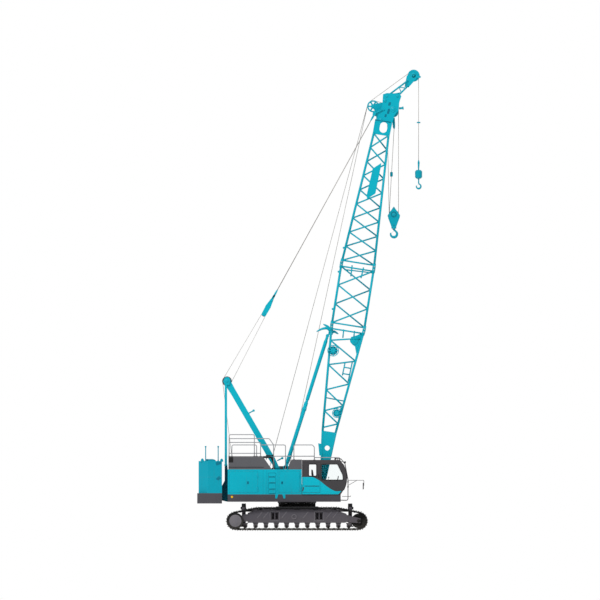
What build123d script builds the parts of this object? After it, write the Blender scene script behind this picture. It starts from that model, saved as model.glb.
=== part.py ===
from build123d import *
from math import acos, atan2, cos, hypot, radians, sin
import os

# A crawler crane with a lattice boom, in millimetres: +X is forward, +Y is left and +Z is up.
# The origin is on the ground, on the slewing axis.

os.makedirs("parts", exist_ok=True)

# Clearances between pieces
move_gap = 6.0
seat_gap = 0.3
running_gap = 0.05

# Tracks: the pitch line is the line of the link pins. shoe_start is the share of a pitch from the flat run's
# rear end to the first joint between shoes, so that one shoe lies across each end of the flat run.
tumbler_distance = 5950.0
pitch_radius = 400.0
shoe_out = 80.0
link_in = 45.0
shoe_width = 914.0
shoe_notch = 46.0
shoe_notch_width = 34.0
shoe_count = 60
shoe_start = 0.3
track_gauge = 4300.0
top_run_rise = 215.0
top_run_half = 1950.0

# Crawler frames, with their rollers and carriers
frame_width = 440.0
frame_top = 1000.0
frame_bottom = 385.0
frame_half = 2380.0
yoke_thickness = 45.0
yoke_gap = 300.0
roller_count = 11
roller_spacing = 500.0
roller_radius = 112.0
roller_width = 250.0
roller_sides = 12
axle_radius = 40.0
drive_hub_radius = 305.0
sprocket_radius = 345.0
sprocket_teeth = 11
sprocket_width = 190.0
idler_width = 190.0
carrier_width = 160.0
carrier_half_length = 130.0
carrier_foot = 160.0
carrier_xs = (-1800.0, -900.0, 0.0, 900.0, 1800.0)

# Carbody
carbody_half_length = 1150.0
carbody_half_width = 1180.0
carbody_bottom = 560.0
carbody_top = 1180.0
beam_x = 1070.0
beam_width = 400.0
beam_low = 510.0
beam_high = 905.0
beam_wall = 45.0
beam_recess = 60.0
arm_radius = 65.0
jack_x = 2570.0
jack_y = 1470.0
jack_radius = 95.0
jack_low = 250.0
jack_high = 1320.0
jack_foot = 60.0
jack_foot_radius = 161.5
ring_radius = 860.0
ring_top = 1335.0
ring_tooth = 34.0

# Upper works
deck_rear = -3347.0
deck_front = 2111.0
deck_low = 1401.0
deck_high = 1758.0
upper_half_width = 1600.0
flange_radius = 930.0
web_inner = 425.0
web_thickness = 70.0
web_outer = web_inner + web_thickness
housing_inner = 720.0
housing_front = 232.0
housing_high = 2966.0
housing_wall = 50.0
hood_front = -1212.0
hood_slope = 445.0
hood_high = 3603.0
hood_bevel = 55.0
cleaner_rear = -415.0
cleaner_high = 3443.0
tail_x = -3622.0

# Engine, in the left-hand housing
engine_rear = -3000.0
engine_front = -1700.0
engine_inner = 830.0
engine_outer = 1480.0
engine_high = 2760.0

# Service doors in the housings: rear edge, front edge, low edge, high edge and the sign of the hinged edge
door_table = (
    ("rear_door", -3270.0, -1900.0, 1850.0, 2880.0, 1),
    ("front_door", -860.0, 130.0, 1850.0, 2880.0, 1),
)
door_gap = 6.0
hinge_radius = 14.0
hinge_leaf = 45.0
hinge_inset = 200.0
knuckle_half = 60.0
knuckle_length = 60.0

# Counterweight
counterweight_rear = -4820.0
block_rear = -4752.0
block_corner = 449.0
counterweight_low = 1318.0
block_low = 1816.0
block_middle = 2594.0
block_high = 3371.0
block_inner = 470.0
lug_x = -4235.0
lug_y = 1000.0
lug_half = 30.0
lug_rise = 50.0
lug_hole_radius = 26.0

# Cab
cab_rear = 240.0
cab_inner = 730.0
cab_outer = 1640.0
cab_high = 3425.0
cab_front_top = 2080.0
cab_front_bottom = 2111.0
cab_front_reach = 2385.0
cab_front_reach_z = 2540.0
cab_wall = 45.0
glass = 10.0
pane_margin = 25.0
cab_door_rear = 290.0
cab_door_front = 1110.0
cab_door_low = 1850.0
cab_door_high = 3290.0

# Boom: lengths are along its axis, from the foot pin
boom_angle = 81.0
foot_x = 1233.0
foot_z = 2271.0
centre_shift = 32.0
base_length = 7620.0
insert_length = 3048.0
tip_length = 7732.0
half_depth = 792.0
half_width = 760.0
chord_radius = 56.0
chord_sides = 10
lacing_radius = 31.0
lacing_sides = 6
foot_plate_length = 2540.0
foot_plate = 60.0
foot_half_width = 560.0
foot_taper = 300.0
foot_half_depth = 166.0
foot_centre = -44.0
foot_plate_half_depth = 375.0
foot_plate_centre = -110.0
foot_pin_radius = 50.0
foot_lug_radius = 120.0
foot_lug_half = 60.0
foot_hole_radius = 120.0
foot_hole_station = 1741.0
foot_hole_depth = -78.0
joint_block = 145.0
joint_collar = 200.0
joint_trim = 25.0
collar_radius = 78.0
tip_lattice_length = 6440.0
tip_half_depth = 360.0
tip_half_width = 470.0
tip_centre = 125.0
shaft_station = 18289.0
head_shaft_depth = 508.0
head_plate = 40.0
sheave_radius = 290.0
sheave_rope_radius = 262.0
sheave_width = 56.0
head_sheave_pitch = 80.0
head_sheaves = 4
shaft_radius = 45.0
guide_station = 18390.0
guide_depth = -471.0
aux_station = 20161.0
aux_depth = 1233.0
aux_rope_radius = 236.0
rope_radius = 13.0

# Stations of the lacing nodes, along the boom from the foot pin
base_rear_nodes = (2694.0, 3501.0, 4518.0, 5730.0, 6908.0)
base_front_nodes = (2978.0, 3868.0, 4963.0, 6097.0, 7236.0)
base_bays = 6
insert_bays = 3
tip_bays = 9

# Cable reels on the boom's right side: station, depth, radius and whether the front chord carries it
reel_table = (
    (6433.0, -533.0, 280.0, 0),
    (3480.0, 120.0, 235.0, 1),
)
reel_y = -half_width - lacing_radius - 60.0
reel_width = 90.0
reel_hub_out = 20.0
reel_arm_radius = 36.0

# Boom head: its outline in depths and stations, and what it carries
head_plate_half = 430.0
head_outline = (
    (-243.0, 17937.0),
    (-40.0, 18480.0),
    (-90.0, 19040.0),
    (90.0, 19130.0),
    (711.0, 19200.0),
    (798.0, 19080.0),
    (750.0, 18770.0),
    (783.0, 18407.0),
    (620.0, 18136.0),
    (576.0, 17763.0),
    (-215.0, 17690.0),
)
head_tubes = ((17800.0, 0.0), (18750.0, 50.0))
pendant_inner = 575.0
guide_half = 45.0
aux_cheek = 45.0
head_hole_station = 17457.0
head_hole_depth = 185.0
head_hole_width = 362.0
head_hole_length = 512.0
aux_jib_half = 340.0
aux_jib_feet = ((18971.0, 111.0), (19051.0, 617.0))
aux_jib_heads = ((19883.0, 994.0), (19626.0, 1035.0))
dead_end_station = 17962.0
dead_end_depth = 594.0

# Gantry, stays and backstops
gantry_foot_x = -942.0
gantry_foot_z = 3015.0
gantry_peak_x = -3381.0
gantry_peak_z = 7226.0
gantry_pin_radius = 75.0
gantry_boss = 15.0
leg_depth = 290.0
leg_thickness = 150.0
link_x = -3434.0
link_foot_z = 3120.0
link_half_length = 58.0
link_thickness = 60.0
link_pin_rise = 60.0
link_pin_radius = 45.0
link_top = 110.0
pendant_radius = 20.0
pendant_station = 18084.0
pendant_depth = -330.0
bridle_start = 3700.0
bridle_length = 920.0
reeving_radius = 9.0
backstop_foot_x = -546.0
backstop_foot_z = 3060.0
backstop_y = 620.0
backstop_rod_start = 700.0
backstop_station = 7100.0
backstop_depth = -911.0
backstop_tube_length = 3300.0
backstop_tube_radius = 95.0
backstop_rod_radius = 68.0

# Hook lines
block_rope_radius = 212.0
block_cheek = 45.0
weight_z = 17219.0
aux_limit_z = 19720.0
hook_bowl = 150.0
hook_section = 55.0
aux_bowl = 105.0
aux_section = 38.0
hook_lead = 48.0
hook_sweep = 240.0
block_sheave_radius = 240.0
block_z = 15277.0
block_top = 15669.0
block_bottom = 14600.0
hook_bowl_z = 14340.0
fall_half = 40.0
aux_socket_top = 17908.0
aux_ball_top = 17430.0
aux_ball_low = 17010.0
aux_hook_bowl_z = 16640.0

boom_c = cos(radians(boom_angle))
boom_s = sin(radians(boom_angle))
head_station = base_length + insert_length + tip_length
joint_one = base_length
joint_two = base_length + insert_length


def boom_point(station, depth, y=0.0):
    """A place on the boom: its station from the foot pin, its depth in front of the axis and its side."""
    forward = depth + centre_shift
    return (
        foot_x + station * boom_c + forward * boom_s,
        y,
        foot_z + station * boom_s - forward * boom_c,
    )


def upright(y=0.0):
    """A vertical plane along the machine, with x forward and y up, facing the right-hand side."""
    return Plane.XZ.offset(-y)


def boom_upright(y=0.0):
    """The same plane, turned so that its y runs along the boom and its x to the boom's front."""
    return Plane(origin=boom_point(0, 0, y), x_dir=(boom_s, 0, -boom_c), z_dir=(0, -1, 0))


def boom_section(station):
    """A plane across the boom, with x to the boom's front and y to its left."""
    return Plane(origin=boom_point(station, 0), x_dir=(boom_s, 0, -boom_c), z_dir=(boom_c, 0, boom_s))


def polygon(plane, points):
    """A closed outline of straight sides on a plane."""
    with BuildSketch(plane, mode=Mode.PRIVATE) as outline:
        with BuildLine():
            Polyline(*points, close=True)
        make_face()
    return outline.sketch


def plate(points, low, high, mode=Mode.ADD):
    """Adds or cuts a plate with a side outline, from low to high across the machine."""
    extrude(polygon(upright(low), points), amount=-(high - low), mode=mode)


def boom_plate(points, low, high, mode=Mode.ADD):
    """The same with an outline of boom depths and stations."""
    extrude(polygon(boom_upright(low), points), amount=-(high - low), mode=mode)


def box(x0, x1, y0, y1, z0, z1, mode=Mode.ADD):
    """Adds or cuts a box between two corners."""
    with Locations(((x0 + x1) / 2, (y0 + y1) / 2, (z0 + z1) / 2)):
        Box(x1 - x0, y1 - y0, z1 - z0, mode=mode)


def bar(start, end, radius, sides, before=0.0, after=0.0):
    """Adds a straight member of polygon section between two points, or past them by before and after."""
    run = Vector(*end) - Vector(*start)
    first = Vector(*start) - run.normalized() * before
    with BuildSketch(Plane(origin=first, z_dir=run), mode=Mode.PRIVATE) as section:
        RegularPolygon(radius, sides)
    extrude(section.sketch, amount=before + run.length + after)


def rod(start, end, radius, mode=Mode.ADD):
    """Adds or cuts a round rod between two points."""
    run = Vector(*end) - Vector(*start)
    with Locations(Plane(origin=start, z_dir=run).location):
        Cylinder(radius, run.length, align=(Align.CENTER, Align.CENTER, Align.MIN), mode=mode)


def cross_rod(x, z, y0, y1, radius, mode=Mode.ADD):
    """Adds or cuts a round rod across the machine."""
    rod((x, y0, z), (x, y1, z), radius, mode)


def save(name, part):
    """Labels a finished piece and writes its file."""
    part.label = name
    export_step(part, f"parts/{name}.step")


def save_pair(name, part):
    """Writes a right-hand piece and its mirror image on the left."""
    save(f"{name}_right", part)
    save(f"{name}_left", part.mirror(Plane.XZ))


# Track loop


def track_path():
    """The pitch line: two wraps, the flat run below and the raised run above."""
    half = tumbler_distance / 2
    centre_z = shoe_out + pitch_radius
    top_z = centre_z + pitch_radius + top_run_rise
    reach = Vector(top_run_half - half, top_z - centre_z)
    turn = atan2(reach.Y, reach.X) - acos(pitch_radius / reach.length)
    touch = (half + pitch_radius * cos(turn), centre_z + pitch_radius * sin(turn))
    with BuildLine() as path:
        Line((-half, shoe_out), (half, shoe_out))
        ThreePointArc((half, shoe_out), (half + pitch_radius, centre_z), touch)
        Polyline(touch, (top_run_half, top_z), (-top_run_half, top_z), (-touch[0], touch[1]))
        ThreePointArc((-touch[0], touch[1]), (-half - pitch_radius, centre_z), (-half, shoe_out))
    return path.wires()[0]


def shoe_points(path):
    """The corners of every shoe, and of the notch behind it, going round the pitch line."""
    pitch = path.length / shoe_count
    notch = shoe_notch_width / pitch
    corners = ((notch, shoe_notch), (notch, shoe_out), (1.0, shoe_out), (1.0, shoe_notch))
    points = []
    for number in range(shoe_count):
        for share, out in corners:
            at = (number + shoe_start + share) / shoe_count % 1
            place, along = path.position_at(at), path.tangent_at(at)
            points.append((place.X + along.Y * out, place.Y - along.X * out))
    return points


track_line = track_path()
wrap_x = tumbler_distance / 2
wrap_z = shoe_out + pitch_radius
track_y = -track_gauge / 2

with BuildPart() as track:
    with BuildSketch(upright(track_y)):
        with BuildLine():
            Polyline(*shoe_points(track_line), close=True)
        make_face()
        with BuildLine(mode=Mode.PRIVATE) as inside:
            add(offset(track_line, -link_in, kind=Kind.INTERSECTION))
        add(make_face(inside.wires()[0].edges(), mode=Mode.PRIVATE), mode=Mode.SUBTRACT)
    extrude(amount=shoe_width / 2, both=True)
save_pair("track", track.part)

# Drive sprocket with its final drive, and the idler

with BuildPart() as sprockets:
    with BuildSketch(upright(track_y)):
        with Locations((-wrap_x, wrap_z)):
            Circle(sprocket_radius)
            with PolarLocations(sprocket_radius, sprocket_teeth):
                Circle(pitch_radius * 0.11, mode=Mode.SUBTRACT)
    extrude(amount=sprocket_width / 2, both=True)
    hub_in = track_y + sprocket_width / 2
    cross_rod(-wrap_x, wrap_z, track_y - shoe_width / 2 + 20, hub_in, drive_hub_radius)
    mirror(about=Plane.XZ)
save("sprockets", sprockets.part)

with BuildPart() as idlers:
    idler_radius = pitch_radius - link_in - seat_gap
    cross_rod(wrap_x, wrap_z, track_y - idler_width / 2, track_y + idler_width / 2, idler_radius)
    for side in (-1, 1):
        face = track_y + side * idler_width / 2
        cross_rod(wrap_x, wrap_z, face, face - side * 50, pitch_radius * 0.62, Mode.SUBTRACT)
    cross_rod(wrap_x, wrap_z, track_y - yoke_gap / 2, track_y + yoke_gap / 2, axle_radius * 1.8)
    mirror(about=Plane.XZ)
save("idlers", idlers.part)

# Crawler frame: a box beam with openings for the carbody's beams, yokes at its ends and roller brackets below

roller_z = shoe_out + link_in + roller_radius + seat_gap
roller_xs = [roller_spacing * (n - (roller_count - 1) / 2) for n in range(roller_count)]
top_inside = shoe_out + 2 * pitch_radius + top_run_rise - link_in

with BuildPart() as crawler_frame:
    plate(
        (
            (-frame_half, frame_bottom),
            (-frame_half, frame_top - 130),
            (-frame_half + 420, frame_top),
            (frame_half - 520, frame_top),
            (frame_half, frame_top - 170),
            (frame_half + 120, frame_bottom + 90),
            (frame_half - 60, frame_bottom),
        ),
        track_y - frame_width / 2,
        track_y + frame_width / 2,
    )
    for side in (-1, 1):
        inner = track_y + side * yoke_gap / 2
        plate(
            (
                (frame_half - 100, frame_bottom + 40),
                (frame_half - 100, frame_top - 190),
                (wrap_x + 90, wrap_z + 110),
                (wrap_x + 90, wrap_z - 110),
            ),
            min(inner, inner + side * yoke_thickness),
            max(inner, inner + side * yoke_thickness),
        )
        plate(
            (
                (-frame_half + 60, frame_bottom + 60),
                (-frame_half + 60, frame_top - 190),
                (-wrap_x + drive_hub_radius + seat_gap, frame_top - 200),
                (-wrap_x + drive_hub_radius + seat_gap, frame_bottom + 60),
            ),
            track_y - side * frame_width / 2 - (yoke_thickness if side < 0 else 0),
            track_y - side * frame_width / 2 + (yoke_thickness if side > 0 else 0),
        )
        for x in roller_xs:
            bracket = track_y + side * (roller_width / 2 + seat_gap)
            plate(
                (
                    (x - 140, frame_bottom),
                    (x + 140, frame_bottom),
                    (x + 60, roller_z - 45),
                    (x - 60, roller_z - 45),
                ),
                min(bracket, bracket + side * 40),
                max(bracket, bracket + side * 40),
            )
    for x in carrier_xs:
        box(
            x - carrier_half_length,
            x + carrier_half_length,
            track_y - carrier_width / 2,
            track_y + carrier_width / 2,
            frame_top - carrier_foot,
            top_inside - seat_gap,
        )
    for x in (-beam_x, beam_x):
        box(
            x - beam_width / 2,
            x + beam_width / 2,
            track_y - frame_width,
            track_y + frame_width,
            beam_low,
            beam_high,
            Mode.SUBTRACT,
        )
save_pair("crawler_frame", crawler_frame.part)

with BuildPart() as rollers:
    for x in roller_xs:
        with BuildSketch(upright(track_y)):
            with Locations((x, roller_z)):
                RegularPolygon(roller_radius, roller_sides)
        extrude(amount=roller_width / 2, both=True)
    mirror(about=Plane.XZ)
save("rollers", rollers.part)

# Carbody: a centre box, two beams through the crawler frames and four jacks on arms

beam_end = track_gauge / 2 + frame_width / 2 - beam_recess

with BuildPart() as carbody:
    box(
        -carbody_half_length,
        carbody_half_length,
        -carbody_half_width,
        carbody_half_width,
        carbody_bottom,
        carbody_top - 120,
    )
    with BuildSketch(Plane.XY.offset(carbody_top - 120)):
        Circle(ring_radius + 160)
    extrude(amount=120)
    for x in (-beam_x, beam_x):
        box(x - beam_width / 2, x + beam_width / 2, -beam_end, beam_end, beam_low, beam_high)
        for side in (-1, 1):
            for edge in (-1, 1):
                slot_y = side * (beam_end - 150)
                slot_x = x + edge * (beam_width - beam_wall) / 4
                slot_half = (beam_width - 3 * beam_wall) / 4
                box(
                    slot_x - slot_half,
                    slot_x + slot_half,
                    slot_y - 151,
                    slot_y + 151,
                    beam_low + beam_wall,
                    beam_high - beam_wall,
                    Mode.SUBTRACT,
                )
    for front in (-1, 1):
        for side in (-1, 1):
            corner = (front * (carbody_half_length - 90), side * (carbody_half_width - 90))
            for z in (carbody_bottom + 110, carbody_top - 195):
                bar((*corner, z), (front * jack_x, side * jack_y, z), arm_radius, 4)
            x, y = front * jack_x, side * jack_y
            rod((x, y, jack_low), (x, y, jack_high), jack_radius)
            rod((x, y, jack_low - jack_foot), (x, y, jack_low), jack_foot_radius)
save("carbody", carbody.part)

with BuildPart() as slewing_ring:
    with BuildSketch(Plane.XY.offset(carbody_top)):
        Circle(ring_radius)
        with PolarLocations(ring_radius, 48):
            Rectangle(ring_tooth * 2, ring_tooth * 1.6)
        Circle(ring_radius - 190, mode=Mode.SUBTRACT)
    extrude(amount=ring_top - carbody_top)
save("slewing_ring", slewing_ring.part)

# Revolving frame: a deck each side, two webs with their brackets, and the boom foot's ears

front_drum = (-850.0, 2400.0, 225.0, 385.0)
rear_drum = (-1800.0, 2500.0, 225.0, 385.0)
luffing_drum = (-2750.0, 2250.0, 170.0, 300.0)
drum_shaft = 60.0
ear_high = foot_z + foot_lug_radius + 40
ear_outer = foot_half_width + foot_lug_half + move_gap
web_outline = (
    (deck_rear, deck_low),
    (tail_x, deck_low + 60),
    (tail_x, 2180.0),
    (link_x - 60, 2420.0),
    (link_x - 60, link_foot_z + link_pin_rise),
    (link_x + 70, link_foot_z + link_pin_rise),
    (link_x + 110, 2620.0),
    (-2300.0, 2560.0),
    (-2050.0, 2830.0),
    (-1450.0, 2830.0),
    (gantry_foot_x - 150, gantry_foot_z + 110),
    (backstop_foot_x + 150, gantry_foot_z + 110),
    (-250.0, 2500.0),
    (foot_x - 420, 1950.0),
    (foot_x - 130, ear_high),
    (foot_x + 130, ear_high),
    (foot_x + 380, deck_high),
    (deck_front, deck_high),
    (deck_front, deck_low),
)

with BuildPart() as revolving_frame:
    for side in (-1, 1):
        plate(web_outline, min(side * web_inner, side * web_outer), max(side * web_inner, side * web_outer))
        box(
            deck_rear,
            deck_front,
            min(side * web_inner, side * upper_half_width),
            max(side * web_inner, side * upper_half_width),
            deck_low,
            deck_high,
        )
        plate(
            (
                (foot_x - 300, deck_high - 50),
                (foot_x - 120, ear_high),
                (foot_x + 120, ear_high),
                (foot_x + 300, deck_high - 50),
            ),
            min(side * ear_outer, side * (ear_outer + web_thickness)),
            max(side * ear_outer, side * (ear_outer + web_thickness)),
        )
        cross_rod(foot_x, foot_z, side * web_inner, side * (ear_outer + web_thickness + 20), foot_pin_radius)
        for x, z in ((gantry_foot_x, gantry_foot_z), (backstop_foot_x, backstop_foot_z)):
            cross_rod(x, z, side * web_inner, side * (web_outer + gantry_boss), gantry_pin_radius)
    for x0, x1 in ((deck_rear, deck_rear + 80), (-600.0, 600.0), (deck_front - 500, deck_front)):
        box(x0, x1, -web_inner - 5, web_inner + 5, deck_low, deck_low + 240)
    with BuildSketch(Plane.XY.offset(ring_top + seat_gap)):
        Circle(flange_radius)
    extrude(amount=deck_low - ring_top - seat_gap + 10)
    for x, z, _core, _flange in (front_drum, rear_drum, luffing_drum):
        cross_rod(x, z, -web_outer - 5, web_outer + 5, drum_shaft + running_gap, Mode.SUBTRACT)
save("revolving_frame", revolving_frame.part)

# Winch drums on their shafts


def drum(name, centre, rope_turns):
    """A drum with two flanges, its rope and a shaft that runs in the webs."""
    x, z, core, flange = centre
    half = web_inner - move_gap
    with BuildPart() as winch:
        with BuildSketch(Plane(origin=(x, 0, z))):
            with BuildLine():
                Polyline(
                    (0, -web_outer),
                    (drum_shaft, -web_outer),
                    (drum_shaft, -half),
                    (flange, -half),
                    (flange, -half + 35),
                    (core + rope_turns, -half + 35),
                    (core + rope_turns, half - 35),
                    (flange, half - 35),
                    (flange, half),
                    (drum_shaft, half),
                    (drum_shaft, web_outer),
                    (0, web_outer),
                    close=True,
                )
            make_face()
        revolve(axis=Axis((x, 0, z), (0, 1, 0)))
    save(name, winch.part)


drum("front_drum", front_drum, 75.0)
drum("rear_drum", rear_drum, 75.0)
drum("luffing_drum", luffing_drum, 50.0)

# Housings with their service doors, hoods, the engine and the cover behind the cab

def knuckles(hinge_x, face_y, heights, toward):
    """Adds the fixed halves of a door's hinges to the wall beside it, each under the door's own knuckle."""
    for z in heights:
        low, high = z - knuckle_half - seat_gap - knuckle_length, z - knuckle_half - seat_gap
        rod((hinge_x, face_y - hinge_radius, low), (hinge_x, face_y - hinge_radius, high), hinge_radius)
        x0, x1 = sorted((hinge_x, hinge_x + toward * hinge_leaf))
        box(x0, x1, face_y - hinge_radius, face_y, low, high)


with BuildPart() as housing:
    box(deck_rear, housing_front, -upper_half_width, -housing_inner, deck_high, housing_high)
    box(
        deck_rear + housing_wall,
        housing_front - housing_wall,
        -upper_half_width + housing_wall,
        -housing_inner - housing_wall,
        deck_high + housing_wall,
        housing_high - housing_wall,
        Mode.SUBTRACT,
    )
    for _name, x0, x1, z0, z1, _edge in door_table:
        box(
            x0 - door_gap,
            x1 + door_gap,
            -upper_half_width - 1,
            -upper_half_width + housing_wall + 1,
            z0 - door_gap,
            z1 + door_gap,
            Mode.SUBTRACT,
        )
    for _name, x0, x1, z0, z1, edge in door_table:
        knuckles(x1 if edge > 0 else x0, -upper_half_width, (z0 + hinge_inset, z1 - hinge_inset), edge)
save_pair("housing", housing.part)

for name, x0, x1, z0, z1, edge in door_table:
    with BuildPart() as service_door:
        box(x0, x1, -upper_half_width, -upper_half_width + housing_wall, z0, z1)
        hinge_x = x1 if edge > 0 else x0
        hinge_y = -upper_half_width - hinge_radius
        for z in (z0 + hinge_inset, z1 - hinge_inset):
            rod((hinge_x, hinge_y, z - knuckle_half), (hinge_x, hinge_y, z + knuckle_half), hinge_radius)
            leaf_x0, leaf_x1 = sorted((hinge_x, hinge_x - edge * hinge_leaf))
            box(leaf_x0, leaf_x1, hinge_y, -upper_half_width, z - knuckle_half, z + knuckle_half)
    save_pair(name, service_door.part)

with BuildPart() as hoods:
    with BuildSketch(upright(-(upper_half_width + housing_inner) / 2)):
        with BuildLine():
            Polyline(
                (deck_rear + 34, housing_high),
                (deck_rear + 34, hood_high),
                (hood_front - hood_slope, hood_high),
                (hood_front, housing_high),
                close=True,
            )
        make_face()
    extrude(amount=(upper_half_width - housing_inner) / 2 - 8, both=True)
    chamfer(hoods.edges().filter_by(Axis.X).group_by(Axis.Z)[-1], hood_bevel)
    mirror(about=Plane.XZ)
save("hoods", hoods.part)

with BuildPart() as air_cleaner_cover:
    with BuildSketch(upright(-(upper_half_width + housing_inner) / 2)):
        with BuildLine():
            Polyline(
                (cleaner_rear, housing_high),
                (cleaner_rear + 20, cleaner_high - 260),
                (cleaner_rear + 150, cleaner_high),
                (housing_front, cleaner_high),
                (housing_front, housing_high),
                close=True,
            )
        make_face()
    extrude(amount=(upper_half_width - housing_inner) / 2 - 8, both=True)
save("air_cleaner_cover", air_cleaner_cover.part)

with BuildPart() as engine:
    box(engine_rear, engine_front, engine_inner, engine_outer, deck_high + housing_wall, engine_high)
save("engine", engine.part)

# Counterweight: a base slab, and two layers of blocks with cut rear corners

with BuildPart() as counterweight_base:
    box(counterweight_rear, tail_x, -upper_half_width, upper_half_width, counterweight_low, block_low)
save("counterweight_base", counterweight_base.part)

for name, low, high in (
    ("counterweight_lower", block_low, block_middle),
    ("counterweight_upper", block_middle, block_high),
):
    with BuildPart() as blocks:
        for side in (-1, 1):
            with BuildSketch(Plane.XY.offset(low)):
                with BuildLine():
                    Polyline(
                        (tail_x, side * block_inner),
                        (tail_x, side * upper_half_width),
                        (block_rear + block_corner, side * upper_half_width),
                        (block_rear, side * (upper_half_width - block_corner)),
                        (block_rear, side * block_inner),
                        close=True,
                    )
                make_face()
            extrude(amount=high - low)
        if high == block_high:
            for side in (-1, 1):
                for x in (block_rear + 340, tail_x - 185):
                    rod((x, side * 1180, high - 1), (x, side * 1180, high + 690), 24)
                box(
                    lug_x - 185,
                    lug_x + 185,
                    side * lug_y - lug_half,
                    side * lug_y + lug_half,
                    high - 1,
                    high + 95,
                )
                cross_rod(
                    lug_x,
                    high + lug_rise,
                    side * lug_y - lug_half - 1,
                    side * lug_y + lug_half + 1,
                    lug_hole_radius,
                    Mode.SUBTRACT,
                )
    save(name, blocks.part)

# Cab: a shell with windows, its door, its panes and what stands in it


def cab_outline(y, inset):
    """The cab's side outline at one place across the machine, drawn in by inset all round."""
    with BuildSketch(upright(y), mode=Mode.PRIVATE) as outline:
        with BuildLine():
            Polyline(
                (cab_front_bottom, deck_high),
                (cab_rear, deck_high),
                (cab_rear, cab_high),
                (cab_front_top, cab_high),
            )
            ThreePointArc(
                (cab_front_top, cab_high),
                (cab_front_reach, cab_front_reach_z),
                (cab_front_bottom, deck_high),
            )
        make_face()
        if inset:
            offset(amount=-inset, kind=Kind.INTERSECTION, mode=Mode.REPLACE)
    return outline.sketch


side_window = ((1170.0, 2450.0), (1170.0, 3225.0), (1960.0, 3225.0), (2215.0, 2700.0), (2235.0, 2450.0))
rear_window = ((560.0, 2640.0), (560.0, 3225.0), (950.0, 3225.0), (950.0, 2640.0))
front_window = (cab_inner + 80, cab_outer - 80, 1980.0, 3240.0)
back_window = (cab_inner + 130, cab_outer - 130, 3010.0, 3320.0)
roof_window = (1300.0, 1850.0, cab_inner + 160, cab_outer - 160)


def cab_slab(inset, low, high, mode=Mode.ADD):
    """Adds or cuts a slab of the cab's side outline between two places across the machine."""
    extrude(cab_outline(low, inset), amount=-(high - low), mode=mode)


with BuildPart() as cab_shell:
    cab_slab(0, -cab_outer, -cab_inner)
    cab_slab(cab_wall, -cab_outer + cab_wall, -cab_inner - cab_wall, Mode.SUBTRACT)
    box(
        cab_door_rear - door_gap,
        cab_door_front + door_gap,
        -cab_outer - 1,
        -cab_outer + cab_wall + 1,
        cab_door_low - door_gap,
        cab_door_high + door_gap,
        Mode.SUBTRACT,
    )
    plate(side_window, -cab_outer - 1, -cab_inner + 1, Mode.SUBTRACT)
    plate(rear_window, -cab_inner - cab_wall - 1, -cab_inner + 1, Mode.SUBTRACT)
    box(
        cab_front_top - 130,
        cab_front_reach + 200,
        -front_window[1],
        -front_window[0],
        front_window[2],
        front_window[3],
        Mode.SUBTRACT,
    )
    box(
        cab_rear - 1,
        cab_rear + cab_wall + 1,
        -back_window[1],
        -back_window[0],
        back_window[2],
        back_window[3],
        Mode.SUBTRACT,
    )
    box(
        roof_window[0],
        roof_window[1],
        -roof_window[3],
        -roof_window[2],
        cab_high - cab_wall - 1,
        cab_high + 1,
        Mode.SUBTRACT,
    )
    knuckles(cab_door_rear, -cab_outer, (cab_door_low + hinge_inset, cab_door_high - hinge_inset), -1)
save("cab_shell", cab_shell.part)

with BuildPart() as cab_door:
    box(cab_door_rear, cab_door_front, -cab_outer, -cab_outer + cab_wall, cab_door_low, cab_door_high)
    plate(rear_window, -cab_outer - 1, -cab_outer + cab_wall + 1, Mode.SUBTRACT)
    hinge_y = -cab_outer - hinge_radius
    for z in (cab_door_low + hinge_inset, cab_door_high - hinge_inset):
        low, high = z - knuckle_half, z + knuckle_half
        rod((cab_door_rear, hinge_y, low), (cab_door_rear, hinge_y, high), hinge_radius)
        box(cab_door_rear, cab_door_rear + hinge_leaf, hinge_y, -cab_outer, low, high)
save("cab_door", cab_door.part)


def pane(points, face, inward):
    """Adds a flat pane that lies against a side wall's inner face."""
    outline = polygon(upright(face), points)
    grown = offset(outline, amount=pane_margin, kind=Kind.INTERSECTION, mode=Mode.PRIVATE)
    extrude(grown, amount=-inward * glass)


with BuildPart() as cab_glass:
    front_low = -front_window[1] - pane_margin
    front_high = -front_window[0] + pane_margin
    cab_slab(cab_wall + seat_gap, front_low, front_high)
    cab_slab(cab_wall + seat_gap + glass, front_low - 1, front_high + 1, Mode.SUBTRACT)
    box(0, cab_front_top - 200, -cab_outer, 0, deck_high, cab_high, Mode.SUBTRACT)
    pane(side_window, -cab_outer + cab_wall + seat_gap, 1)
    pane(side_window, -cab_inner - cab_wall - seat_gap, -1)
    pane(rear_window, -cab_inner - cab_wall - seat_gap, -1)
save("cab_glass", cab_glass.part)

seat_x, seat_y = 1000.0, -(cab_inner + cab_outer) / 2
cab_floor_z = deck_high + cab_wall + seat_gap

with BuildPart() as operator_seat:
    box(seat_x - 250, seat_x + 250, seat_y - 240, seat_y + 240, cab_floor_z + 380, cab_floor_z + 500)
    box(seat_x - 140, seat_x + 140, seat_y - 140, seat_y + 140, cab_floor_z, cab_floor_z + 385)
    plate(
        (
            (seat_x - 250, cab_floor_z + 450),
            (seat_x - 130, cab_floor_z + 450),
            (seat_x - 230, cab_floor_z + 1180),
            (seat_x - 330, cab_floor_z + 1180),
        ),
        seat_y - 230,
        seat_y + 230,
    )
save("operator_seat", operator_seat.part)

with BuildPart() as control_consoles:
    for side in (-1, 1):
        console_y = seat_y + side * 320
        box(seat_x - 260, seat_x + 360, console_y - 70, console_y + 70, cab_floor_z, cab_floor_z + 620)
        rod((seat_x + 260, console_y, cab_floor_z + 610), (seat_x + 250, console_y, cab_floor_z + 800), 18)
save("control_consoles", control_consoles.part)

# Step rail, mirror and front stay on the cab

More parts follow.
